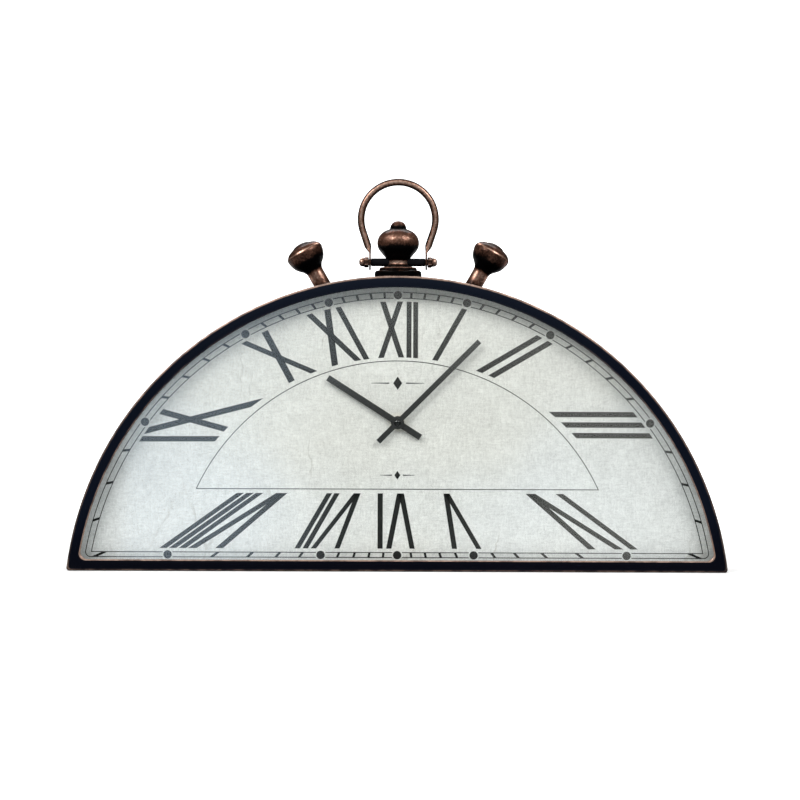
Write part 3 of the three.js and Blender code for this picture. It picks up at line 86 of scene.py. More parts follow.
# Contours of the print: radius and centre height of the round top, then height of the straight base
PRINT_CENTRE_Z = -29.1
TRACK_OUTER = (239.5, PRINT_CENTRE_Z, 9.45)
TRACK_INNER = (235.1, PRINT_CENTRE_Z, 13.2)
TICK_OUTER = (239.2, PRINT_CENTRE_Z, 9.75)
TICK_INNER = (234.8, PRINT_CENTRE_Z, 13.5)
DOT_LINE = (237.1, PRINT_CENTRE_Z, 11.6)
NUMERAL_OUTER = (232.3, PRINT_CENTRE_Z, 16.5)
NUMERAL_INNER = (180.8, -19.8, 58.2)
FRAME_LINE = (167.7, -9.1, 61.1)

# Widths in the print, and how far each layer of ink stands proud of the card or reaches into it
TRACK_WIDTH = 0.62
TRACK_CORNER = 4.0
TICK_WIDTH = 1.75
FRAME_WIDTH = 0.6
DOT_RADIUS = 3.15
GROUND_RADIUS = 4.1
LINE_RISE = 0.06
BAR_RISE = 0.08
GROUND_RISE = 0.1
DOT_RISE = 0.13
INK_SINK = 0.02

# Each stroke of an hour numeral: the clock angles in degrees at its outer and its inner end, and its width
NUMERAL_STROKES = np.array([
    [30.3, 30.8, 4.0],
    [58.6, 57.9, 4.0], [62.1, 63.7, 4.0],
    [87.9, 86.8, 4.0], [90.4, 90.6, 4.0], [92.8, 94.0, 4.0],
    [122.9, 118.2, 3.8], [119.6, 117.9, 3.4], [118.0, 113.6, 3.4],
    [155.5, 145.5, 3.8], [147.0, 145.0, 3.4],
    [187.7, 193.5, 3.9], [183.8, 178.1, 3.9], [173.2, 176.7, 3.8],
    [218.4, 223.8, 3.5], [216.1, 220.4, 3.5], [213.6, 210.0, 3.2], [205.5, 209.0, 3.6],
    [241.7, 245.7, 3.2], [240.7, 244.3, 3.2], [239.6, 242.8, 3.2], [238.4, 238.8, 3.4], [234.7, 238.1, 3.8],
    [266.2, 264.7, 4.0], [268.0, 277.9, 4.3], [272.5, 267.6, 4.4],
    [297.4, 300.9, 3.7], [304.3, 291.0, 4.9],
    [320.6, 327.3, 4.0], [328.0, 312.2, 4.8], [332.6, 333.8, 4.0],
    [352.9, 3.1, 4.0], [1.1, 345.5, 3.9], [5.3, 9.7, 3.7], [8.4, 15.4, 3.6],
])

# The camera stands level in front of the dial; the photograph leans a little to the right
CAMERA_X = 1.8
CAMERA_Z = 128.8
CAMERA_DISTANCE = 1600.0
CAMERA_LEAN = -0.2
VIEW_WIDTH = 600.0
SENSOR_WIDTH = 36.0

# The stage: a table under the clock, a sheet far behind it, and the floor and round wall that the camera sees
TABLE_Z = -0.3
TABLE_HALF_WIDTH = 1500.0
TABLE_FRONT_Y = -80.0
TABLE_BACK_Y = 1500.0
SHEET_Y = 2400.0
SHEET_HALF_WIDTH = 900.0
SHEET_LOW_Z = -750.0
SHEET_TOP_Z = 1000.0
FLOOR_Z = -0.2
FLOOR_RADIUS = 3000.0
WALL_TOP_Z = 4000.0


# Shader nodes
class Wire:
    """One output of a shader node; an expression on wires and numbers adds its Math nodes."""

    def __init__(self, finish, socket):
        self.finish = finish
        self.socket = socket

    def math(self, operation, *values):
        return self.finish.node("ShaderNodeMath", dict(enumerate(values)), operation=operation)

    def __abs__(self):
        return self.math("ABSOLUTE", self)

    def __add__(self, other):
        return self.math("ADD", self, other)

    def __sub__(self, other):
        return self.math("SUBTRACT", self, other)

    def __rsub__(self, other):
        return self.math("SUBTRACT", other, self)

    def __mul__(self, other):
        return self.math("MULTIPLY", self, other)

    __radd__ = __add__
    __rmul__ = __mul__

    def ramp(self, low, high):
        """Rises smoothly from 0 to 1 as the wire goes from low to high."""
        sockets = {"Value": self, "From Min": low, "From Max": high}
        return self.finish.node("ShaderNodeMapRange", sockets, interpolation_type="SMOOTHSTEP")

    def blend(self, first, second):
        """Goes from the first colour to the second as the wire goes from 0 to 1."""
        return self.finish.node("ShaderNodeMix", {0: self, 6: first, 7: second}, 2, data_type="RGBA")

    def bump(self, strength, depth):
        return self.finish.node("ShaderNodeBump", {"Strength": strength, "Distance": depth, "Height": self})


class Finish:
    """A material and its nodes; colours are red, green and blue."""

    def __init__(self, name):
        self.material = bpy.data.materials.new(name)
        self.material.use_nodes = True
        self.tree = self.material.node_tree
        self.shader = self.tree.nodes["Principled BSDF"]
        self.place = self.node("ShaderNodeTexCoord", output="Object")

    def node(self, kind, sockets=None, output=0, **settings):
        node = self.tree.nodes.new(kind)
        for key, value in settings.items():
            setattr(node, key, value)
        for key, value in (sockets or {}).items():
            self.join(node.inputs[key], value)
        return Wire(self, node.outputs[output])

    def join(self, socket, value):
        if isinstance(value, Wire):
            self.tree.links.new(value.socket, socket)
        elif socket.type == "RGBA":
            socket.default_value = (*value, 1)
        else:
            socket.default_value = value

    def paint(self, **sockets):
        """Sets the shader's sockets; an underscore in a name stands for a space."""
        for key, value in sockets.items():
            self.join(self.shader.inputs[key.replace("_", " ")], value)
        return self.material

    def axis(self, letter):
        """One coordinate of the place."""
        return self.node("ShaderNodeSeparateXYZ", {0: self.place}, letter)

    def noise(self, scale, detail, roughness=0.55, stretch=(1, 1, 1), shift=(0, 0, 0)):
        """Noise in object space: scale in features per metre, multiplied by stretch along x, y and z."""
        vector = self.node("ShaderNodeMapping", {"Vector": self.place, "Scale": stretch, "Location": shift})
        sockets = {"Vector": vector, "Scale": scale, "Detail": detail, "Roughness": roughness}
        return self.node("ShaderNodeTexNoise", sockets)

    def mark(self, name):
        """The value that a piece's own points carry under this name."""
        return self.node("ShaderNodeAttribute", output="Fac", attribute_name=name)


def make_black_paint():
    """Blue-black enamel, with copper showing through where the points are marked for wear and painted
    highlight.
    Painted shade makes it darkest at the base and painted light makes it palest at the top."""
    finish = Finish("black_paint")
    cloud = finish.noise(30, 5)
    grain = finish.noise(900, 3)
    # on the bezel this mark is wear together with painted highlight where its edges catch the light
    wear_and_sheen_mask = finish.mark("wear") * (0.55 + 0.45 * finish.noise(110, 6).ramp(0.34, 0.62))
    rubbed = wear_and_sheen_mask.ramp(0.06, 0.95)
    height = finish.axis("Z")
    # painted shade darkens the enamel towards the base, and painted light pales it towards the top
    painted_base_shade_fade = height.ramp(0, 0.06)
    painted_top_light = height.ramp(0.13, 0.27) * (0.7 + 0.6 * cloud)
    enamel = painted_base_shade_fade.blend((0.0008, 0.0011, 0.0036), (0.0034, 0.0052, 0.0115))
    enamel = painted_top_light.blend(enamel, (0.009, 0.0125, 0.022))
    copper = finish.noise(260, 4).blend((0.2, 0.115, 0.082), (0.72, 0.52, 0.43))
    return finish.paint(
        Base_Color=rubbed.blend(enamel, copper),
        Metallic=0.85 * rubbed,
        Roughness=0.38 + 0.1 * cloud - 0.06 * rubbed,
        Specular_IOR_Level=0.035,
        Normal=grain.bump(0.06, 0.0004),
    )


def make_antique_copper():
    """Black patina, worn back to warm copper where the points' mark is high, with dark flecks left in; dull
    where it turns away from the eye. The mark holds worn-off patina together with painted highlight and
    painted shade."""
    finish = Finish("antique_copper")
    streak = finish.noise(130, 6, 0.62)
    fleck = finish.noise(560, 4, 0.62)
    grain = finish.noise(1500, 3)
    # the mark is worn-off patina together with painted highlight on lit edges and painted shade on
    # undersides; the palest copper follows its highest values
    rub = finish.mark("rub")
    bare = (rub + 0.75 * streak + 0.65 * fleck).ramp(0.86, 1.56)
    bright = (rub + 0.8 * fleck).ramp(1.04, 1.6)
    warm = bare.blend((0.056, 0.023, 0.014), (0.23, 0.11, 0.074))
    copper = bright.blend(warm, (0.67, 0.46, 0.36))
    return finish.paint(
        Base_Color=bare.blend((0.0016, 0.0013, 0.0014), copper),
        Metallic=0.1 + 0.7 * bare,
        Roughness=0.34 - 0.12 * bare + 0.14 * fleck,
        Specular_IOR_Level=0.06,
        Specular_Tint=(0.1, 0.07, 0.06),
        Coat_Weight=0.05 + 0.25 * bare,
        Coat_Roughness=0.2,
        Coat_IOR=1.45,
        Normal=(streak + 0.4 * grain).bump(0.14, 0.0004),
    )


def make_glass():
    """Clear window glass: what is behind shows through, and each face mirrors a share that grows from 0.026
    seen straight on to 1 edge on, with the fifth power of how far the face turns away."""
    finish = Finish("glass")
    finish.paint(Base_Color=(1, 1, 1), Metallic=1, Roughness=0.03)
    clear = finish.node("ShaderNodeBsdfTransparent", {"Color": (0.985, 0.992, 0.988)})
    turned_away = finish.node("ShaderNodeLayerWeight", {"Blend": 0.5}, "Facing")
    squared = turned_away * turned_away
    mirrored = 0.026 + 0.974 * squared * squared * turned_away
    mirror = Wire(finish, finish.shader.outputs[0])
    mixed = finish.node("ShaderNodeMixShader", {0: mirrored, 1: clear, 2: mirror})
    finish.join(finish.tree.nodes["Material Output"].inputs["Surface"], mixed)
    return finish.material


def make_dial_paper():
    """Aged linen card: broad stains, small mottling, threads both ways, specks and fine upright cracks;
    yellowed in the upper middle and darker towards its two ends, with painted light that makes it paler round
    the hands, where their shade falls."""
    finish = Finish("dial_paper")
    stain = finish.noise(13, 5, 0.6)
    mottle = finish.noise(62, 6, 0.62)
    across = finish.noise(700, 2, 0.5, (0.3, 1, 1.4))
    down = finish.noise(700, 2, 0.5, (1.4, 1, 0.3), (0.3, 0, 0.7))
    speck = finish.noise(1000, 1, 0.5)
    across_card = finish.axis("X")
    ends = abs(across_card).ramp(0.04, 0.24)
    yellow = 0.24 * (1 - abs(across_card + 0.03).ramp(0.02, 0.17))
    yellow = yellow + 0.3 * finish.axis("Z").ramp(0.03, 0.15)
    hue = (finish.noise(6, 2) + yellow).ramp(0.52, 0.92)
    swirl = finish.node("ShaderNodeTexNoise", {"Vector": finish.place, "Scale": 70, "Detail": 4}, "Color")
    bent = finish.node("ShaderNodeMix", {0: 0.01, 4: finish.place, 5: swirl}, 1, data_type="VECTOR")
    upright = finish.node("ShaderNodeMapping", {"Vector": bent, "Scale": (1, 1, 0.2)})
    sockets = {"Vector": upright, "Scale": 21}
    cells = finish.node("ShaderNodeTexVoronoi", sockets, feature="DISTANCE_TO_EDGE")
    crack = (1 - cells.ramp(0.003, 0.012)) * finish.noise(16, 3).ramp(0.52, 0.66)
    # painted light: the card is made paler round the hands, over the shade they cast
    painted_light_round_hands = {0: finish.place, 1: (-0.005, PAPER_FRONT_Y * MM, 0.137)}
    from_painted_light_round_hands = finish.node("ShaderNodeVectorMath", painted_light_round_hands, "Value", operation="DISTANCE")
    tone = 0.15 * stain + 0.34 * mottle + 0.48 * across + 0.48 * down + 0.44 * speck - 0.23 - 0.14 * ends
    tone = tone + 0.11 * (1 - from_painted_light_round_hands.ramp(0.012, 0.085))
    cool = tone.blend((0.4, 0.415, 0.417), (0.98, 0.998, 1))
    drab = tone.blend((0.418, 0.409, 0.376), (1, 0.997, 0.952))
    aged = hue.blend(cool, drab)
    return finish.paint(
        Base_Color=(0.32 * crack).blend(aged, (0.36, 0.345, 0.3)),
        Roughness=0.78 + 0.14 * mottle,
        Specular_IOR_Level=0.2,
        Normal=(across + down).bump(0.06, 0.0002),
    )


def make_dial_ink():
    """Charcoal printing ink, a little thin in places so that the card's grain shows."""
    finish = Finish("dial_ink")
    thin = finish.noise(420, 5, 0.65).ramp(0.52, 0.78)
    ink = finish.noise(26, 3).blend((0.009, 0.01, 0.0095), (0.014, 0.015, 0.0145))
    return finish.paint(
        Base_Color=(0.12 * thin).blend(ink, (0.06, 0.062, 0.058)),
        Roughness=0.66 + 0.18 * thin,
        Specular_IOR_Level=0.25,
    )


def make_metal(name, dark, light, roughness, scratch, metallic=0.95, rim=1, specular=0.5):
    """Bare metal with fine scratches, which its roughness follows; rim is how bright it turns edge on."""
    finish = Finish(name)
    cloud = finish.noise(70, 4)
    fine = finish.noise(380, 4, 0.6, scratch)
    return finish.paint(
        Base_Color=(0.6 * cloud + 0.4 * fine).blend(dark, light),
        Metallic=metallic,
        Specular_IOR_Level=specular,
        Specular_Tint=(rim, rim, rim),
        Roughness=roughness + 0.18 * fine,
        Normal=fine.bump(0.05, 0.0002),
    )


def make_plastic(name, dark, light, roughness, specular=0.4):
    """Moulded plastic with a faint spark-eroded grain and slight changes of tone."""
    finish = Finish(name)
    cloud = finish.noise(45, 4)
    grain = finish.noise(2200, 2)
    return finish.paint(
        Base_Color=cloud.blend(dark, light),
        Roughness=roughness + 0.12 * cloud,
        Specular_IOR_Level=specular,
        Normal=grain.bump(0.1, 0.0002),
    )


def make_hardboard():
    """Pressed wood fibre: long and short fibres crossing, darker flecks, a dull skin."""
    finish = Finish("hardboard")
    long = finish.noise(320, 6, 0.65, (1, 1, 0.16))
    cross = finish.noise(320, 6, 0.65, (0.16, 1, 1), (0.4, 0, 0.2))
    fleck = finish.noise(700, 3).ramp(0.62, 0.74)
    fibre = (0.5 * long + 0.5 * cross).blend((0.085, 0.048, 0.027), (0.205, 0.125, 0.072))
    skin = (0.5 * finish.noise(24, 4)).blend(fibre, (0.15, 0.088, 0.05))
    return finish.paint(
        Base_Color=(0.6 * fleck).blend(skin, (0.045, 0.026, 0.016)),
        Roughness=0.62 + 0.2 * long,
        Specular_IOR_Level=0.25,
        Normal=(long + cross).bump(0.1, 0.0003),
    )


def make_battery_wrap():
    """Slate sleeve where the points' band is 0, a pale stripe where it is 1, bare metal where it is 2."""
    finish = Finish("battery_wrap")
    band = finish.mark("band")
    bare = band.ramp(1.4, 1.6)
    stripe = band.ramp(0.4, 0.6)
    cloud = finish.noise(60, 3)
    slate = cloud.blend((0.03, 0.042, 0.06), (0.045, 0.06, 0.082))
    sleeve = stripe.blend(slate, (0.55, 0.53, 0.47))
    return finish.paint(
        Base_Color=bare.blend(sleeve, (0.62, 0.62, 0.6)),
        Metallic=bare,
        Roughness=0.3 + 0.12 * cloud,
    )


def make_circuit_card():
    """Green lacquer over woven glass cloth, with copper tracks showing as paler lines."""
    finish = Finish("circuit_card")
    weave = finish.noise(1600, 2, 0.5, (1, 1, 0.2))
    sockets = {"Vector": finish.place, "Scale": 160, "Distortion": 3}
    track = finish.node("ShaderNodeTexWave", sockets, "Fac").ramp(0.8, 0.9)
    green = weave.blend((0.012, 0.07, 0.03), (0.018, 0.095, 0.042))
    return finish.paint(
        Base_Color=track.blend(green, (0.06, 0.2, 0.09)),
        Roughness=0.35 + 0.2 * weave,
    )


# Dark and light tone, roughness, stretch of the scratches, then metallic, rim and specular where they differ
METALS = {
    "dark_aluminium": ((0.02, 0.021, 0.021), (0.034, 0.036, 0.035), 0.5, (1, 1, 1), 0.2),
    "steel": ((0.3, 0.3, 0.31), (0.52, 0.52, 0.53), 0.26, (3, 1, 0.4)),
    "brass": ((0.42, 0.28, 0.09), (0.66, 0.47, 0.18), 0.24, (1, 3, 1)),
    "copper_wire": ((0.36, 0.13, 0.06), (0.62, 0.27, 0.14), 0.28, (9, 0.2, 0.2)),
    "black_steel": ((0.003, 0.003, 0.004), (0.018, 0.018, 0.021), 0.3, (0.3, 3, 3), 0.1, 0.03, 0.08),
}
# Dark and light tone, roughness, then specular where it differs
PLASTICS = {
    "white_plastic": ((0.68, 0.67, 0.62), (0.78, 0.77, 0.73), 0.42),
    "black_plastic": ((0.01, 0.01, 0.011), (0.018, 0.018, 0.019), 0.4),
    "glossy_black": ((0.008, 0.009, 0.009), (0.014, 0.015, 0.015), 0.08),
    "rubber": ((0.012, 0.012, 0.012), (0.022, 0.022, 0.021), 0.74, 0.2),
}
FINISHES = {
    "black_paint": make_black_paint(),
    "antique_copper": make_antique_copper(),
    "glass": make_glass(),
    "printed_card": make_dial_paper(),
    "dial_ink": make_dial_ink(),
    "hardboard": make_hardboard(),
    "circuit_card": make_circuit_card(),
    "battery_wrap": make_battery_wrap(),
    **{name: make_metal(name, *look) for name, look in METALS.items()},
    **{name: make_plastic(name, *look) for name, look in PLASTICS.items()},
}

for part in frame["record"]["subparts"]:
    for material_slot in frame["nodes"][part["node"]].material_slots:
        material_slot.material = FINISHES[part["material_slot"]]


# Shapes
RIGHT, BACK, UP = np.eye(3)


def placed(name, data):
    """A new object in the scene."""
    thing = bpy.data.objects.new(name, data)
    bpy.context.scene.collection.objects.link(thing)
    return thing


def beside(*values):
    """Values spread to a common shape and set side by side along a new last axis."""
    return np.stack(np.broadcast_arrays(*values), axis=-1)


def joined(*parts):
    """Rows set end to end."""
    return np.concatenate(parts)


class Shell:
    """Grids of points in millimetres gathered into one closed mesh; points may carry marks for the finish."""

    def __init__(self):
        self.points = []
        self.faces = []
        self.marks = {}
        self.total = 0

    def grid(self, points, closed_rows=False, caps=(), **marks):
        """Joins rows of points into quads; columns close on themselves, and caps names end rows to fill."""
        rows, columns = points.shape[:2]
        index = self.total + np.arange(rows * columns).reshape(rows, columns)
        ring = np.concatenate([index, index[:, :1]], axis=1)
        if closed_rows:
            ring = np.concatenate([ring, ring[:1]], axis=0)
        quads = beside(ring[:-1, :-1], ring[:-1, 1:], ring[1:, 1:], ring[1:, :-1])
        self.faces.extend(quads.reshape(-1, 4).tolist())
        self.faces.extend(index[row].tolist() for row in caps)
        self.points.append(points.reshape(-1, 3))
        for name, values in marks.items():
            spread = np.broadcast_to(np.asarray(values, float), (rows, columns))
            self.marks.setdefault(name, []).append((self.total, spread.ravel()))
        self.total += rows * columns
        return self

    def piece(self, name, slot, node, body="case", finish=None, sharp=32):
        """Makes the mesh: doubles at poles and seams merge, faces turn outwards, edges over the sharp angle
        stay sharp. It has the slot's finish and rides on the case unless others are named."""
        mesh = bpy.data.meshes.new(name)
        mesh.from_pydata((np.concatenate(self.points) * MM).tolist(), [], self.faces)
        for mark, parts in self.marks.items():
            values = np.zeros(self.total)
            for start, spread in parts:
                values[start:start + len(spread)] = spread
            mesh.attributes.new(mark, "FLOAT", "POINT").data.foreach_set("value", values)
        work = bmesh.new()
        work.from_mesh(mesh)
        bmesh.ops.remove_doubles(work, verts=work.verts, dist=1e-6)
        bmesh.ops.recalc_face_normals(work, faces=work.faces)
        work.to_mesh(mesh)
        work.free()
        mesh.shade_smooth()
        mesh.set_sharp_from_angle(angle=math.radians(sharp))
        mesh.materials.append(FINISHES[finish or slot])
        piece = placed(name, mesh)
        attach(piece, body)
        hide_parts(node)


def box_of(node):
    """The lowest and the highest corner of a solid, and its middle."""
    low, high = (np.array(corner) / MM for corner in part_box(node))
    return low, high, (low + high) / 2


def column(values):
    return np.atleast_1d(np.asarray(values, float))[:, None]


def full_turn(steps=96):
    """The angles of points spaced evenly round a circle."""
    return np.linspace(0, 2 * np.pi, steps, endpoint=False)


def ease(value, low, high):
    """Rises smoothly from 0 at low to 1 at high."""
    share = np.clip((value - low) / (high - low), 0, 1)
    return share ** 2 * (3 - 2 * share)


def arc(centre_x, centre_z, radius, start, stop, count):
    """Points on circles: centre plus radius times cosine and sine of an angle from start to stop."""
    angle = start + (stop - start) * np.linspace(0, 1, count)
    return beside(centre_x + radius * np.cos(angle), centre_z + radius * np.sin(angle))


def half_round(radius, centre_z, base_z, corner, corner_count=10, top_count=180, base_count=24):
    """Closed outlines, one row for each size: a round top, two rounded lower corners and a straight base. A
    corner's centre lies corner above the base and radius - corner from the centre of the top."""
    radius, centre_z, base_z, corner = np.broadcast_arrays(*map(column, (radius, centre_z, base_z, corner)))
    corner_z = base_z + corner
    corner_x = np.sqrt((radius - corner) ** 2 - (corner_z - centre_z) ** 2)
    lean = np.arctan2(corner_z - centre_z, corner_x)
    right = arc(corner_x, corner_z, corner, -np.pi / 2, lean, corner_count)
    top = arc(0, centre_z, radius, lean, np.pi - lean, top_count)
    left = arc(-corner_x, corner_z, corner, np.pi - lean, 1.5 * np.pi, corner_count)
    base = beside(corner_x * np.linspace(-1, 1, base_count), base_z)
    return np.concatenate([right[:, :-1], top[:, :-1], left[:, :-1], base[:, :-1]], axis=1)


def case_outline(inset, corner):
    """The case's outline drawn in by inset."""
    inset = np.asarray(inset, float)
    return half_round(CASE_RADIUS - inset, CASE_CENTRE_Z, inset, corner)


def rounded_rectangle(centre, half_width, half_height, corner, inset, steps=8):
    """Closed outlines, one row for each inset: four quarter circles that shrink with the inset."""
    inset = column(inset)
    radius = np.maximum(corner - inset, 0)
    quarters = [np.linspace(start, start + 0.5, steps) for start in (-0.5, 0, 0.5, 1)]
    angle = np.concatenate(quarters) * np.pi
    side = np.repeat([1, 1, -1, -1], steps)
    level = np.repeat([-1, 1, 1, -1], steps)
    x = centre[0] + side * (half_width - inset - radius) + radius * np.cos(angle)
    z = centre[1] + level * (half_height - inset - radius) + radius * np.sin(angle)
    return beside(x, z)


def discs(centres, radius, steps=64):
    """Closed circles, one row for each centre."""
    return arc(centres[:, :1], centres[:, 1:], radius, 0, 2 * np.pi, steps + 1)[:, :-1]


def bearings(outline):
    """The angles at which the points of a plate's outline lie, seen from the dial centre."""
    return np.arctan2(*(outline([0.0])[0] - DIAL_CENTRE).T[::-1])


def round_centre(bearing, reach):
    """Points about the dial centre, at these angles and this far out."""
    return beside(reach * np.cos(bearing), DIAL_CENTRE_Z + reach * np.sin(bearing))


def stand(outlines, depth):
    """Outlines in x and z, each set at its depth y."""
    return beside(outlines[..., 0], column(depth), outlines[..., 1])


def edge_round(radius, steps=6):
    """A quarter circle from a side to a face: how far in from the side, and how far behind the face."""
    angle = np.linspace(0, np.pi / 2, steps)
    return radius * (1 - np.cos(angle)), radius * (1 - np.sin(angle))


def rounded_side(front, back, edge):
    """Insets and depths along the rounded side of a plate, from its front face to its back."""
    inset, drop = edge_round(edge)
    return joined(inset[::-1], inset), joined(front + drop[::-1], back - drop)


def plate(outline, front, back, edge):
    """Rows of a plate; outline(insets) gives its drawn-in outlines."""
    insets, depths = rounded_side(front, back, edge)
    return stand(outline(insets), depths)


def framed(outline, hole, front, back, edge):
    """Rows of a plate with a hole: round the outer edge to the back, then through the hole to the front."""
    insets, depths = rounded_side(front, back, edge)
    return joined(stand(outline(insets), depths), stand(hole(-insets), depths[::-1]))


def through(points, per_span=8):
    """A smooth line through points: on each span a Catmull-Rom cubic, with half the step between its
    neighbours as the tangent at each end."""
    points = np.asarray(points, float)
    ends = joined(2 * points[:1] - points[1:2], points, 2 * points[-1:] - points[-2:-1])
    before, first, second, after = (ends[i:len(ends) - 3 + i, None] for i in range(4))
    t = np.linspace(0, 1, per_span, endpoint=False)[None, :, None]
    curve = first + 0.5 * (second - before) * t
    curve = curve + 0.5 * (2 * before - 5 * first + 4 * second - after) * t ** 2
    curve = curve + 0.5 * (3 * first - before - 3 * second + after) * t ** 3
    return joined(curve.reshape(-1, points.shape[1]), points[-1:])


def turned(radius, height, steps=96):
    """Rows turned about the z axis; radius and height may vary with the angle."""
    angle = full_turn(steps)
    return beside(radius * np.cos(angle), radius * np.sin(angle), height)


def lathe(profile, steps=96):
    """Rows turned from a profile of radius and height; no radius goes below 0."""
    return turned(np.maximum(profile[:, :1], 0), profile[:, 1:2], steps)


def aimed(points, origin, axis, side):
    """Points whose z runs along axis and whose x runs along side, set at origin."""
    axis, side = np.asarray(axis, float), np.asarray(side, float)
    x, y, z = (points[..., i:i + 1] for i in range(3))
    return np.asarray(origin) + x * side + y * np.cross(axis, side) + z * axis


def leaning(angle):
    """An axis that leans to the right of upright, and the side that goes with it."""
    return (math.sin(angle), 0, math.cos(angle)), (math.cos(angle), 0, -math.sin(angle))


def case_reach(origin, axis, side, radius):
    """How far down an axis each line of a round stem reaches before it meets the case's round top: the root
    of |origin + radius (cos, sin) + t axis - centre| = case radius + gap, seen from the front."""
    ring = aimed(turned(column(radius), column(0))[0], origin, axis, side)
    x, z = ring[:, 0], ring[:, 2] - CASE_CENTRE_Z
    along = x * axis[0] + z * axis[2]
    length = axis[0] ** 2 + axis[2] ** 2
    rest = x ** 2 + z ** 2 - (CASE_RADIUS + SEAT_GAP) ** 2
    return (-along + np.sqrt(along ** 2 - length * rest)) / length


# Case: bezel, band and back
def make_bezel():
    """A flat ring along the case outline. Its section runs up the outer side, round the front edge, across
    the face and a fine groove, over the rolled inner lip and back along the rim that locates it in the band.
    Copper shows on the outer edge most along the top and on the lip most along the base, where each catches
    the light: wear together with painted highlight."""
    outer_in, outer_drop = edge_round(1.1, 8)
    lip_in, lip_drop = edge_round(0.7, 6)
    groove_y = FRONT_Y + 0.12
    # Each row: how far in, depth, wear as part of the outer edge, wear as part of the lip
    section = joined(
        [[0, BEZEL_BACK_Y, 0.5, 0]],
        beside(outer_in, FRONT_Y + outer_drop, np.linspace(0.7, 1, 8), 0),
        [[1.6, FRONT_Y, 0.25, 0], [2.2, FRONT_Y, 0, 0], [7.2, FRONT_Y, 0, 0]],
        [[7.4, groove_y, 0, 0], [7.55, groove_y, 0, 0.1]],
        beside(BEZEL_WIDTH - lip_in, FRONT_Y + lip_drop, 0, 0.9)[::-1],
        [[BEZEL_WIDTH, BEZEL_BACK_Y, 0, 0.6], [3.0, BEZEL_BACK_Y, 0, 0], [3.0, RIM_BACK_Y, 0, 0]],
        [[1.8, RIM_BACK_Y, 0, 0], [1.8, BEZEL_BACK_Y, 0, 0]],
    )
    inset, depth, edge_wear, lip_wear = section.T
    corner = CASE_CORNER + (BEZEL_CORNER - CASE_CORNER) * inset / BEZEL_WIDTH
    rows = stand(case_outline(inset, corner), depth)
    # painted highlight: copper on the outer edge grows towards the top and copper on the lip towards the
    # base, where the light catches them; the rest is wear
    rise = np.clip((rows[..., 2] - CASE_CENTRE_Z) / CASE_RADIUS, 0, 1)
    edge_wear_and_sheen = 0.05 + 0.28 * np.clip(rise / 0.12, 0, 1) + 0.67 * rise ** 2
    wear = edge_wear[:, None] * edge_wear_and_sheen + lip_wear[:, None] * np.clip(1.1 - 1.05 * rise, 0.1, 1)
    Shell().grid(rows, closed_rows=True, wear=wear).piece("bezel", "black_paint", "front_bezel")


def make_band():
    """The bent band of the case: one wall thick, with its two outer edges rounded."""
    front = BEZEL_BACK_Y + 0.1
    edge_in, edge_drop = edge_round(0.6, 5)
    # Each row: how far in, depth, wear
    section = joined(
        beside(edge_in, front + edge_drop, np.linspace(0.9, 0.6, 5))[::-1],
        [[0, front + 1.6, 0.1], [0, BACK_Y - 3.0, 0.1]],
        beside(edge_in, BACK_Y - edge_drop, np.linspace(0.95, 0.8, 5)),
        [[CASE_WALL, BACK_Y, 0.4], [CASE_WALL, front, 0]],
    )
    inset, depth, wear = section.T
    rows = stand(case_outline(inset, CASE_CORNER - 0.8 * inset), depth)
    shell = Shell().grid(rows, closed_rows=True, wear=wear[:, None])
    shell.piece("case_band", "black_paint", "case_shell")


def make_back_panel():
    """Hardboard cut to the case outline, with a rounded square window for reaching the movement."""
    low, high, _ = box_of("back_panel")

    def outline(inset):
        return case_outline(CASE_WALL + PANEL_GAP + np.asarray(inset), PANEL_CORNER)

    def window(inset):
        """A superellipse: |x| to the power plus |z| to the power is the half width to the power."""
        bearing, power = bearings(outline), 8.0
        spread = np.abs(np.cos(bearing)) ** power + np.abs(np.sin(bearing)) ** power
        return round_centre(bearing, (WINDOW_HALF - column(inset)) / spread ** (1 / power))

    shell = Shell().grid(framed(outline, window, low[1], high[1], edge=0.5), closed_rows=True)
    shell.piece("back_board", "hardboard", "back_panel")


def make_back_screws():
    """Pan-head screws: a pointed shank, and a dome with a cross cut into it, whose depth fades towards the
    ends of its arms."""
    head_radius, dome_height, cross_depth = 3.0, 0.42, 0.45
    radius = np.linspace(1, 0, 18)[:, None]
    arm = np.minimum(np.abs(radius * np.cos(full_turn())), np.abs(radius * np.sin(full_turn())))
    cross = np.clip((0.16 - arm) / 0.06, 0, 1) * np.clip((0.72 - radius) / 0.2, 0, 1)
    dome = dome_height * np.sqrt(np.clip(1 - (0.96 * radius) ** 2, 0, 1)) - cross_depth * cross
    shank = np.array([[0, -8.4], [0.6, -8.4], [1.5, -6.5], [1.5, -0.6], [2.9, -0.55], [head_radius, -0.38]])
    rows = joined(lathe(shank), turned(head_radius * radius, dome - dome_height))
    for number in range(1, 7):
        node = f"back_screw_{number}"
        middle = box_of(node)[2]
        shell = Shell().grid(aimed(rows, (middle[0], BACK_Y, middle[2]), BACK, RIGHT))
        shell.piece(f"panel_screw_{number}", "steel", node)


# Dial: card, print and hands
def clock_ray(degrees):
    """Unit vectors in x and z for clock angles, clockwise from the top."""
    angle = np.radians(degrees)
    return beside(np.sin(angle), np.cos(angle))


def crossing(contour, point, way, entering=False):
    """Where lines from a point meet a half-round contour: |point + t way - centre| = radius, cut off by the
    base; each way may have a point of its own."""
    radius, centre_z, base_z = contour
    offset = point - [0, centre_z]
    along = (offset * way).sum(-1)
    spread = np.sqrt(np.maximum(along ** 2 - (offset ** 2).sum(-1) + radius ** 2, 0))
    rise = np.where(np.abs(way[:, 1]) < 1e-9, 1e-9, way[:, 1])
    to_base = (base_z - point[..., 1]) / rise
    if entering:
        distance = np.where(rise > 0, np.maximum(-along - spread, to_base), -along - spread)
    else:
        distance = np.where(rise < 0, np.minimum(-along + spread, to_base), -along + spread)
    return point + distance[:, None] * way


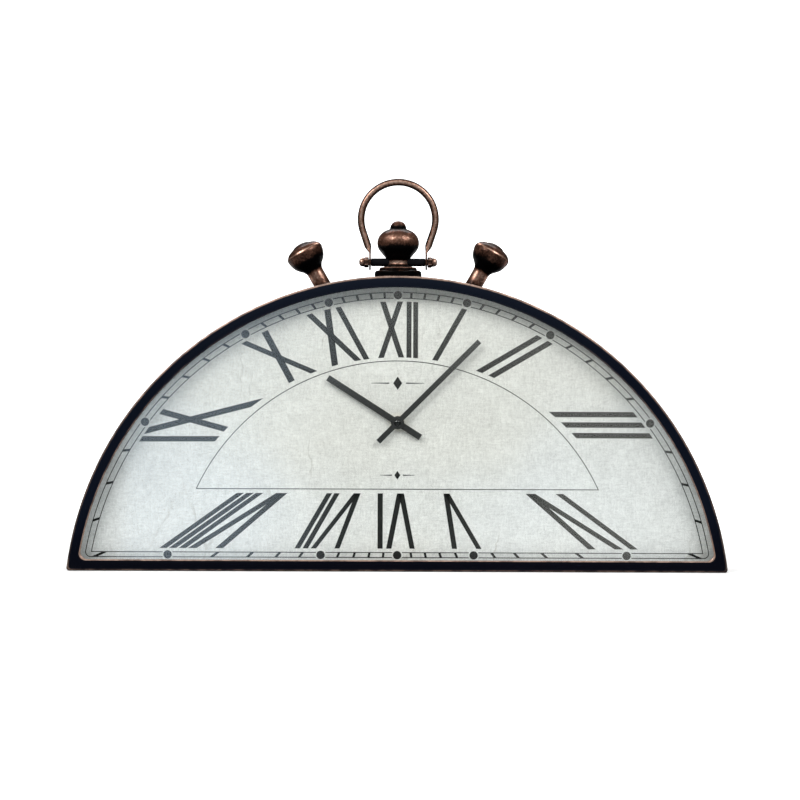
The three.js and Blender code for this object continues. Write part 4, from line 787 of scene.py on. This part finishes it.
def bars(outer, inner, angles, width):
    """Four corners of each straight bar between two contours; angles gives its clock angles at both ends."""
    far = crossing(outer, DIAL_CENTRE, clock_ray(angles[:, 0]))
    near = crossing(inner, DIAL_CENTRE, clock_ray(angles[:, 1]))
    way = (far - near) / np.linalg.norm(far - near, axis=1, keepdims=True)
    side = beside(-way[:, 1], way[:, 0]) * width / 2
    middle = (far + near) / 2
    left, right = middle + side, middle - side
    corners = [crossing(outer, left, way), crossing(inner, left, -way, True),
               crossing(inner, right, -way, True), crossing(outer, right, way)]
    return np.stack(corners, axis=1)


def inked(shell, outlines, rise):
    """Adds thin slabs of ink, one for each outline, that stand proud of the card by rise."""
    for outline in outlines:
        depths = [PAPER_FRONT_Y - rise, PAPER_FRONT_Y + INK_SINK]
        shell.grid(stand(np.stack([outline, outline]), depths), caps=(0, -1))


def ruled(shell, contour, width, corner=0):
    """Adds a closed line of even width along a half-round contour, lying on the card."""
    radius, centre_z, base_z = contour
    grow = np.array([0, width, width, 0])
    rows = half_round(radius - grow, centre_z, base_z + grow, np.maximum(corner - grow, 0))
    front, back = PAPER_FRONT_Y - LINE_RISE, PAPER_FRONT_Y + INK_SINK
    shell.grid(stand(rows, [front, front, back, back]), closed_rows=True)


def make_dial():
    """The card, then its print in low relief: minute track, hour numerals, inner line, dots on pale rounds,
    and a lozenge between two thin rules above and below the hands."""

    def outline(inset):
        return case_outline(STACK_INSET + np.asarray(inset), STACK_CORNER)

    def hole(inset):
        return round_centre(bearings(outline), SHAFT_HOLE_RADIUS - column(inset))

    card = Shell().grid(framed(outline, hole, PAPER_FRONT_Y, PAPER_BACK_Y, edge=0.02), closed_rows=True)
    card.piece("dial_card", "printed_card", "dial_sheet")

    track, numerals, line, rounds, spots, ornament = (Shell() for _ in range(6))
    ruled(track, TRACK_OUTER, TRACK_WIDTH, TRACK_CORNER)
    ruled(track, TRACK_INNER, TRACK_WIDTH)
    minute = np.arange(60.0)[np.arange(60) % 5 > 0] * 6
    inked(track, bars(TICK_OUTER, TICK_INNER, beside(minute, minute), TICK_WIDTH), BAR_RISE)
    strokes = bars(NUMERAL_OUTER, NUMERAL_INNER, NUMERAL_STROKES[:, :2], NUMERAL_STROKES[:, 2:])
    inked(numerals, strokes, BAR_RISE)
    ruled(line, FRAME_LINE, FRAME_WIDTH)
    dots = crossing(DOT_LINE, DIAL_CENTRE, clock_ray(np.arange(12.0) * 30))
    inked(rounds, discs(dots, GROUND_RADIUS), GROUND_RISE)
    inked(spots, discs(dots, DOT_RADIUS), DOT_RISE)
    for height, size, reach in ((141.5, 4.0, 20.0), (72.0, 2.6, 13.0)):
        lozenge = np.array([[0, -1.25], [0.85, 0], [0, 1.25], [-0.85, 0]]) * size
        inked(ornament, [lozenge + [0, height]], BAR_RISE)
        rule = np.array([[1.6 * size, -0.45], [reach, -0.15], [reach, 0.15], [1.6 * size, 0.45]])
        for side in (-1, 1):
            inked(ornament, [rule * [side, 1] + [0, height]], BAR_RISE)

    for name, shell, finish in (
        ("minute_track", track, "dial_ink"),
        ("hour_numerals", numerals, "dial_ink"),
        ("inner_frame_line", line, "dial_ink"),
        ("dot_grounds", rounds, "printed_card"),
        ("hour_dots", spots, "dial_ink"),
        ("dial_ornament", ornament, "dial_ink"),
    ):
        shell.piece(name, "printed_card", "dial_sheet", finish=finish)


def hand_outline(length, width, inset, steps=24):
    """Closed outlines, one row for each inset: a straight bar with square ends and a round hub."""
    inset = column(inset)
    half, hub = width / 2 - inset, HAND_HUB_RADIUS - inset
    notch = np.arcsin(half / hub)
    right = arc(0, 0, hub, notch - np.pi / 2, np.pi / 2 - notch, steps)
    left = arc(0, 0, hub, np.pi / 2 + notch, 1.5 * np.pi - notch, steps)
    tip = beside(np.concatenate([half, -half], axis=1), length - inset)
    foot = beside(np.concatenate([-half, half], axis=1), inset - HAND_TAIL)
    return np.concatenate([right, tip, left, foot], axis=1)


def make_hand(name, body, node, length, width, degrees):
    """A stamped flat hand, its edges a little rounded, turned clockwise about the dial centre."""
    low, high, _ = box_of(node)
    rows = plate(lambda inset: hand_outline(length, width, inset), low[1], high[1], edge=0.14)
    rows = aimed(rows, (0, 0, DIAL_CENTRE_Z), *leaning(math.radians(degrees)))
    Shell().grid(rows, caps=(0, -1)).piece(name, "dark_aluminium", node, body, sharp=50)


def make_hands():
    make_hand("hour_pointer", "hour_body", "hour_hand", length=62.5, width=4.7, degrees=302.6)
    make_hand("minute_pointer", "minute_body", "minute_hand", length=87.0, width=4.0, degrees=45.0)
    low, high, _ = box_of("hand_nut")
    top = high[1] - low[1]
    dome = through([[2.5, 0], [2.6, 0.2], [2.35, 0.6], [2.0, 0.88], [1.5, 1.2], [0.8, 1.48], [0, top]])
    rows = lathe(joined([[0, 0]], dome), 64)
    nut = Shell().grid(aimed(rows, (0, high[1], DIAL_CENTRE_Z), -BACK, RIGHT))
    nut.piece("hand_cap", "dark_aluminium", "hand_nut", "minute_body", "glossy_black")


# Crown, bow and pushers; the third number of a profile point says how much of the patina is worn off there,
# and also holds painted highlight where the light catches and painted shade underneath
def make_crown():
    """On the top of the case: a collar that follows the round of it, an onion on a waist, and a button."""
    top = CASE_TOP_Z * UP
    collar = through([
        [COLLAR_RADIUS, 1.2, 0.05], [COLLAR_RADIUS, 3.4, 0.05], [17.75, 4.4, 0.25], [17.1, 5.2, 0.35],
        [16.0, 5.5, 0.1], [12.0, 5.5, 0], [COLLAR_BORE, 5.5, 0],
    ])
    feet = [turned(column(radius), case_reach(top, UP, RIGHT, radius)[None])
            for radius in (COLLAR_BORE, COLLAR_RADIUS)]
    rub = joined([0, 0.3], collar[:, 2])
    rows = joined(*feet, lathe(collar))
    shell = Shell().grid(aimed(rows, top, UP, RIGHT), caps=(0, -1), rub=rub[:, None])
    shell.piece("crown_foot", "antique_copper", "crown_collar")

    # painted highlight on the upper ring's edge and on the waist; the onion's lower half is left black as
    # patina and painted shade
    onion = [
        [0, 5.6, 0], [8.0, 5.6, 0], [13.6, 5.6, 0], [14.25, 5.9, 0], [14.35, 6.6, 0.1],
        [14.1, 7.4, 0.75], [13.4, 7.9, 0.8], [11.4, 8.1, 0.15], [10.7, 8.5, 0.1], [10.2, 9.0, 0],
        [8.7, 9.4, 0], [7.8, 10.1, 0.5], [7.5, 11.2, 0.95], [7.5, 12.6, 0.85], [7.9, 13.8, 0.1],
        [8.9, 14.7, 0], [10.5, 16.5, 0], [12.2, 18.5, 0], [13.9, 20.5, 0], [15.1, 22.4, 0],
        [15.8, 24.6, 0.4], [16.0, 26.8, 0.62], [15.65, 29.3, 0.7], [14.6, 31.8, 0.66],
        [12.8, 34.0, 0.55], [10.3, 35.8, 0.45], [8.0, 36.8, 0.35], [6.6, 37.2, 0.1], [0, 37.45, 0],
    ]
    button = [
        [0, 37.4, 0], [5.8, 37.4, 0], [6.25, 37.7, 0.1], [6.3, 38.4, 0.2], [6.05, 38.9, 0], [5.95, 39.5, 0.4],
        [5.35, 40.8, 0.6], [4.3, 42.1, 0.65], [2.6, 43.2, 0.55], [0, 43.7, 0.5],
    ]
    for name, node, points in (("crown_onion", "crown", onion), ("crown_finial", "crown_button", button)):
        profile = through(points)
        shell = Shell().grid(aimed(lathe(profile), top, UP, RIGHT), rub=profile[:, 2:])
        shell.piece(name, "antique_copper", node, sharp=60)


def make_bow():
    """A round rod bent into a ring with two straight legs, beaten flat at both ends into eyes: its section is
    a rounded rectangle that turns into a circle."""
    ring_z, ring_radius = 32.9, 28.4
    foot_x, foot_z = 21.5, 7.5
    rod_radius, eye_radius, eye_half = 2.7, 5.9, 0.7
    foot = np.array([foot_x, foot_z])
    to_foot = math.hypot(foot_x, ring_z - foot_z)
    below = math.atan2(ring_z - foot_z, foot_x) - math.acos(ring_radius / to_foot)
    tangent = np.array([ring_radius * math.cos(below), ring_z - ring_radius * math.sin(below)])
    drop = -eye_radius * np.cos(np.linspace(0, 1, 40) * np.pi / 2) ** 1.5
    straight = beside(foot_x, joined(drop, np.linspace(0, foot_z, 17)[1:]))
    leg = foot + (tangent - foot) * np.linspace(0, 1, 34)[1:, None]
    half_ring = arc(0, ring_z, ring_radius, -below, np.pi / 2, 70)[1:]
    half_line = joined(straight, leg, half_ring)
    line = joined(half_line, (half_line * [-1, 1])[-2::-1])
    tangents = np.gradient(line, axis=0)
    tangents /= np.linalg.norm(tangents, axis=1, keepdims=True)
    normals = beside(tangents[:, 1], -tangents[:, 0])

    height = line[:, 1]
    rodness = ease(height, 6.5, 13.0)
    thick = eye_half + (rod_radius - eye_half) * rodness
    wide = eye_radius + (rod_radius - eye_radius) * ease(height, 1.0, 12.0)
    wide = np.where(height < 0, np.sqrt(np.maximum(eye_radius ** 2 - height ** 2, 0)), wide)
    cosine, sine = np.cos(full_turn(40)), np.sin(full_turn(40))
    power = 2 / (2 + 3 * (1 - rodness))[:, None]
    across = np.sign(cosine) * np.abs(cosine) ** power * thick[:, None]
    depth = np.sign(sine) * np.abs(sine) ** power * wide[:, None]
    x = line[:, :1] + across * normals[:, :1]
    z = PIVOT_Z + line[:, 1:] + across * normals[:, 1:]
    # painted highlight down the front and back of the rod and painted shade along its inner and outer sides,
    # over worn patina
    rub = 0.94 * np.abs(sine) ** 3 + 0.12 * cosine
    rub = rub * (0.6 + 0.4 * rodness[:, None]) + 0.04 * rodness[:, None]
    shell = Shell().grid(beside(x, depth, z), rub=rub)
    shell.piece("bow_ring", "antique_copper", "bow", "bow_body", sharp=50)


def make_pivot():
    """The pivot bolt: smooth sleeves from the neck to the eyes and a fine thread beyond them, and on each end
    a domed cap nut with six chamfered flats."""
    low, high, _ = box_of("pivot_bolt")
    pitch, thread_depth = 0.9, 0.22
    along = np.linspace(low[0], high[0], 420)[:, None]
    ridge = 2 * np.abs((along / pitch - full_turn(40) / (2 * np.pi)) % 1 - 0.5)
    radius = np.where(np.abs(along) < SLEEVE_END_X, SLEEVE_RADIUS, PIVOT_RADIUS - thread_depth * ridge)
    bolt = turned(radius, along, 40)
    shell = Shell().grid(aimed(bolt, (0, 0, PIVOT_Z), RIGHT, BACK), caps=(0, -1))
    shell.piece("bow_pin", "steel", "pivot_bolt", finish="black_steel", sharp=80)

    flat_radius, flat_end, chamfer = 3.55, 3.4, 1.3
    flats = flat_radius / np.cos((full_turn() + np.pi / 6) % (np.pi / 3) - np.pi / 6)
    level = column([0, 0, 0.12, 0.3, 0.5, 1.0, 2.0, 2.6, 2.9, 3.1, 3.3, flat_end])
    prism = np.minimum(flats, np.minimum(3.62 + chamfer * level, 3.5 + chamfer * (flat_end - level)))
    prism[0] = 0
    dome = through([
        [3.3, flat_end, 0.5], [3.3, 4.6, 0.8], [3.1, 5.6, 0.95], [2.4, 6.7, 0.95], [1.3, 7.25, 0.85],
        [0, 7.4, 0.8],
    ])
    rows = joined(turned(prism, level), lathe(dome))
    flats_rub = 0.45 + 0.35 * (prism > 3.8)
    rub = joined(flats_rub, np.broadcast_to(dome[:, 2:], (len(dome), len(flats))))
    for side, word in ((-1, "left"), (1, "right")):
        nut = Shell().grid(aimed(rows, (side * CAP_NUT_X, 0, PIVOT_Z), side * RIGHT, BACK), rub=rub)
        nut.piece(f"bow_nut_{word}", "antique_copper", f"cap_nut_{word}")


def make_pushers():
    """Mushroom knobs that lean outwards; the stem ends on the round top of the case."""
    place, tilt, stem = math.radians(13.2), math.radians(29.8), 6.3
    # painted highlight in the third numbers: brightest on the ridge round the cap and up the stem; the neck
    # under the cap is left black as patina and painted shade
    knob = through([
        [stem, 4.2, 0.6], [stem, 8.0, 0.8], [stem, 11.6, 0.75], [6.5, 13.6, 0.4], [7.1, 15.0, 0.05],
        [8.1, 16.5, 0], [9.6, 18.0, 0], [11.1, 19.6, 0], [12.3, 21.2, 0.05], [13.25, 23.2, 0.35],
        [13.95, 25.4, 0.5], [14.4, 27.4, 0.5], [14.5, 28.6, 0.5], [14.35, 29.6, 0.6], [14.0, 30.5, 0.95],
        [13.35, 31.5, 0.6], [12.0, 32.9, 0.5], [10.1, 34.1, 0.5], [8.0, 34.9, 0.45], [7.1, 35.1, 0.05],
        [6.6, 35.5, 0.35], [5.5, 36.1, 0.55], [3.4, 36.7, 0.5], [1.5, 36.95, 0.5], [0, 37.0, 0.5],
    ])
    rub = joined([0.3], knob[:, 2])
    foot_z = CASE_CENTRE_Z + CASE_RADIUS * math.cos(place)
    for side, word in ((-1, "left"), (1, "right")):
        origin = np.array([side * CASE_RADIUS * math.sin(place), 0, foot_z])
        axis, across = leaning(side * tilt)
        foot = turned(column(stem), case_reach(origin, axis, across, stem)[None])
        rows = joined(foot, lathe(knob))
        shell = Shell().grid(aimed(rows, origin, axis, across), caps=(0,), rub=rub[:, None])
        shell.piece(f"pusher_knob_{word}", "antique_copper", f"pusher_{word}", sharp=50)


# Movement, as seen through the rear window
def make_movement_lid():
    """The moulded cover, with a raised panel on its back."""
    low, high, middle = box_of("movement_cover")

    def layer(margin, front, back, edge):
        half_sizes = (high - low)[::2] / 2 - margin
        return plate(lambda inset: rounded_rectangle(middle[::2], *half_sizes, 2.0, inset), front, back, edge)

    shell = Shell().grid(layer(0, low[1], high[1], edge=0.4), caps=(0, -1))
    shell.grid(layer(3.0, high[1] - 0.3, high[1] + 0.35, edge=0.3), caps=(0, -1))
    shell.piece("movement_lid", "black_plastic", "movement_cover")


def make_battery():
    """A round cell lying along x; the third number of a profile point is its band, for the finish."""
    low, high, middle = box_of("battery")
    length, radius = high[0] - low[0], 7.1
    profile = np.array([
        [0, 0, 2], [5.6, 0, 2], [6.3, 0.05, 2], [6.6, 0.25, 0], [7.0, 0.45, 0], [radius, 0.8, 0],
        [radius, 33.0, 0], [radius, 33.4, 1], [radius, length - 2.2, 1], [7.0, length - 1.75, 1],
        [6.6, length - 1.5, 1], [6.3, length - 1.4, 2], [2.8, length - 1.3, 2], [2.7, length - 1.1, 2],
        [2.6, length - 0.15, 2], [2.4, length, 2], [0, length, 2],
    ])
    end = (low[0], middle[1], middle[2])
    cell = Shell().grid(aimed(lathe(profile), end, RIGHT, BACK), band=profile[:, 2:])
    cell.piece("battery_cell", "battery_wrap", "battery", "battery_body")


def make_setting_wheel():
    """The setting knob on its arbor: a pinion inside the movement and a knurled wheel behind the cover."""
    low, high, _ = box_of("set_knob")
    front, back = low[1], high[1]
    wheel_front = back - 4.0
    angle = full_turn(144)
    knurl = 0.28 * np.abs(np.sin(12 * angle))
    teeth = 0.75 * np.abs(np.sin(6 * angle))
    # Each row: radius, depth, and 1 where the teeth or 2 where the knurl swells it
    profile = np.array([
        [0.9, front, 0], [0.9, front + 0.8, 0], [1.5, front + 0.9, 0], [1.5, front + 3.2, 0],
        [2.2, front + 3.2, 1], [2.2, front + 4.4, 1], [1.5, front + 4.4, 0], [1.5, wheel_front, 0],
        [4.5, wheel_front, 2], [4.72, wheel_front + 0.25, 2], [4.72, back - 0.6, 2], [4.3, back - 0.1, 2],
        [3.9, back, 0], [2.4, back, 0], [2.0, back - 0.6, 0], [0, back - 0.6, 0],
    ])
    radius, depth, kind = (profile[:, i:i + 1] for i in range(3))
    rows = turned(radius + (kind == 1) * teeth + (kind == 2) * knurl, depth, len(angle))
    knob = Shell().grid(aimed(rows, (SET_KNOB_X, 0, SET_KNOB_Z), BACK, RIGHT), caps=(0,))
    knob.piece("setting_wheel", "white_plastic", "set_knob", "set_knob_body", sharp=40)


# Stage, light and camera
def make_pale(name, shade, specular, glow):
    """A dull white that shifts a little in tone, and glows."""
    finish = Finish(name)
    finish.paint(
        Base_Color=finish.noise(3, 2).blend((shade, shade, shade), (0.92, 0.92, 0.92)),
        Roughness=0.9,
        Specular_IOR_Level=specular,
        Emission_Color=(1, 1, 1),
        Emission_Strength=glow,
    )
    return finish


def add_stage(name, x, y, z, finish, seen_only=False):
    """Adds a sheet of the stage from rows of points, joined into quads; a sheet that is only seen neither
    lights the clock nor shades it."""
    rows = beside(x, y, z)
    index = np.arange(rows.size // 3).reshape(rows.shape[:2])
    quads = beside(index[:-1, :-1], index[1:, :-1], index[1:, 1:], index[:-1, 1:])
    mesh = bpy.data.meshes.new(name)
    mesh.from_pydata((rows.reshape(-1, 3) * MM).tolist(), [], quads.reshape(-1, 4).tolist())
    mesh.materials.append(finish.material)
    sheet = placed(name, mesh)
    if seen_only:
        for ray in ("diffuse", "glossy", "transmission", "shadow"):
            setattr(sheet, f"visible_{ray}", False)


def make_stage():
    """A pale table top that glows a little, its front edge close in front of the clock, and a bright white
    sheet far behind it. Over the table lies a wide pale floor, which turns white away from the clock and
    meets a round white wall."""
    acrylic = make_pale("lit_acrylic", 0.88, specular=0.1, glow=0.15)
    across = np.linspace(-TABLE_HALF_WIDTH, TABLE_HALF_WIDTH, 5)
    back = column(np.linspace(TABLE_BACK_Y, TABLE_FRONT_Y, 5))
    add_stage("table_top", across, back, TABLE_Z, acrylic)

    sheet = make_pale("white_sheet", 0.9, specular=0.5, glow=1)
    across = np.linspace(-SHEET_HALF_WIDTH, SHEET_HALF_WIDTH, 5)
    height = column(np.linspace(SHEET_LOW_Z, SHEET_TOP_Z, 5))
    add_stage("backdrop", across, SHEET_Y, height, sheet)

    floor = make_pale("pale_floor", 0.88, specular=0.1, glow=1)
    reach = floor.node("ShaderNodeVectorMath", {0: floor.place}, "Value", operation="LENGTH")
    floor.paint(Emission_Color=reach.ramp(0.45, 1.3).blend((0.15, 0.15, 0.15), (1, 1, 1)))
    angle = np.linspace(0, 2 * np.pi, 97)
    x, y = np.cos(angle), np.sin(angle)
    radius = column(np.linspace(0, FLOOR_RADIUS, 13))
    add_stage("studio_floor", radius * x, radius * y, FLOOR_Z, floor, seen_only=True)
    height = column(np.linspace(FLOOR_Z, WALL_TOP_Z, 9))
    add_stage("studio_wall", FLOOR_RADIUS * x, FLOOR_RADIUS * y, height, sheet, seen_only=True)


def make_softbox(name, place, target, width, height, power):
    """A rectangular lamp aimed from its place at a point, both in millimetres; power is in watts."""
    light = bpy.data.lights.new(name, "AREA")
    light.shape = "RECTANGLE"
    light.size = width * MM
    light.size_y = height * MM
    light.energy = power
    lamp = placed(name, light)
    lamp.location = np.array(place) * MM
    way = Vector((np.array(target) - np.array(place)).tolist())
    lamp.rotation_euler = way.to_track_quat("-Z", "Y").to_euler()


class Sky(Finish):
    """The room's light as a shader, worked out from the direction that is looked in."""

    def __init__(self, name):
        self.world = bpy.data.worlds.new(name)
        self.world.use_nodes = True
        self.tree = self.world.node_tree
        self.shader = self.tree.nodes["Background"]
        self.place = self.node("ShaderNodeTexCoord", output="Generated")


def make_light():
    """A dark room with a broad pale ceiling in front of the clock, brighter to the left and right, a paler
    wall behind the camera and a little light from low in front; two lamps in front and a softbox behind."""
    sky = Sky("studio")
    right, up = sky.axis("X"), sky.axis("Z")
    ahead = 0 - sky.axis("Y")
    ceiling = up.ramp(0.24, 0.6) * (1 - up.ramp(0.82, 0.95)) * ahead.ramp(0.06, 0.4)
    ceiling = ceiling * (0.65 + 2.3 * right.ramp(-0.3, -0.8) + 1.2 * right.ramp(0.25, 0.75))
    wall = ahead.ramp(0.9, 0.96) * (1 - abs(up).ramp(0.08, 0.13))
    wall = wall * (1 - abs(right).ramp(0.122, 0.138))
    sides = abs(right).ramp(0.015, 0.085)
    veil = sides * (1.65 + 0.5 * right.ramp(0.05, -0.05))
    veil = veil + (1 - sides) * 1.3 * up.ramp(-0.01, 0.045)
    low_fill = 0.35 * ahead.ramp(0.2, 0.6) * up.ramp(-0.15, -0.28)
    glow = 0.03 + 0.06 * up.ramp(0, 0.4) + 1.85 * ceiling + wall * veil + low_fill
    pale = right.ramp(-0.08, 0.02).blend((0.82, 1, 1.18), (0.98, 1, 0.95))
    room = up.ramp(0, -0.15).blend((1, 0.995, 0.975), (0.95, 1, 1.04))
    sky.join(sky.shader.inputs["Color"], wall.blend(room, pale))
    sky.join(sky.shader.inputs["Strength"], glow)
    bpy.context.scene.world = sky.world
    make_softbox("left_lamp", (-1420, -1560, 1690), (0, 0, 150), width=1000, height=800, power=21)
    make_softbox("right_lamp", (1360, -1610, 1690), (0, 0, 150), width=900, height=800, power=17)
    make_softbox("back_softbox", (0, 950, 1500), (0, 750, 0), width=1600, height=700, power=22)


def make_camera():
    data = bpy.data.cameras.new("camera")
    data.sensor_width = SENSOR_WIDTH
    data.lens = SENSOR_WIDTH * CAMERA_DISTANCE / VIEW_WIDTH
    data.clip_start = 0.05
    data.clip_end = 50
    camera = placed("camera", data)
    camera.location = np.array([CAMERA_X, FRONT_Y - CAMERA_DISTANCE, CAMERA_Z]) * MM
    camera.rotation_euler = (math.pi / 2, math.radians(CAMERA_LEAN), 0)
    bpy.context.scene.camera = camera


bpy.context.scene.view_settings.view_transform = "Standard"
make_camera()
make_light()
make_stage()
make_bezel()
make_band()
make_back_panel()
make_back_screws()
make_dial()
make_hands()
make_crown()
make_bow()
make_pivot()
make_pushers()
make_movement_lid()
make_battery()
make_setting_wheel()
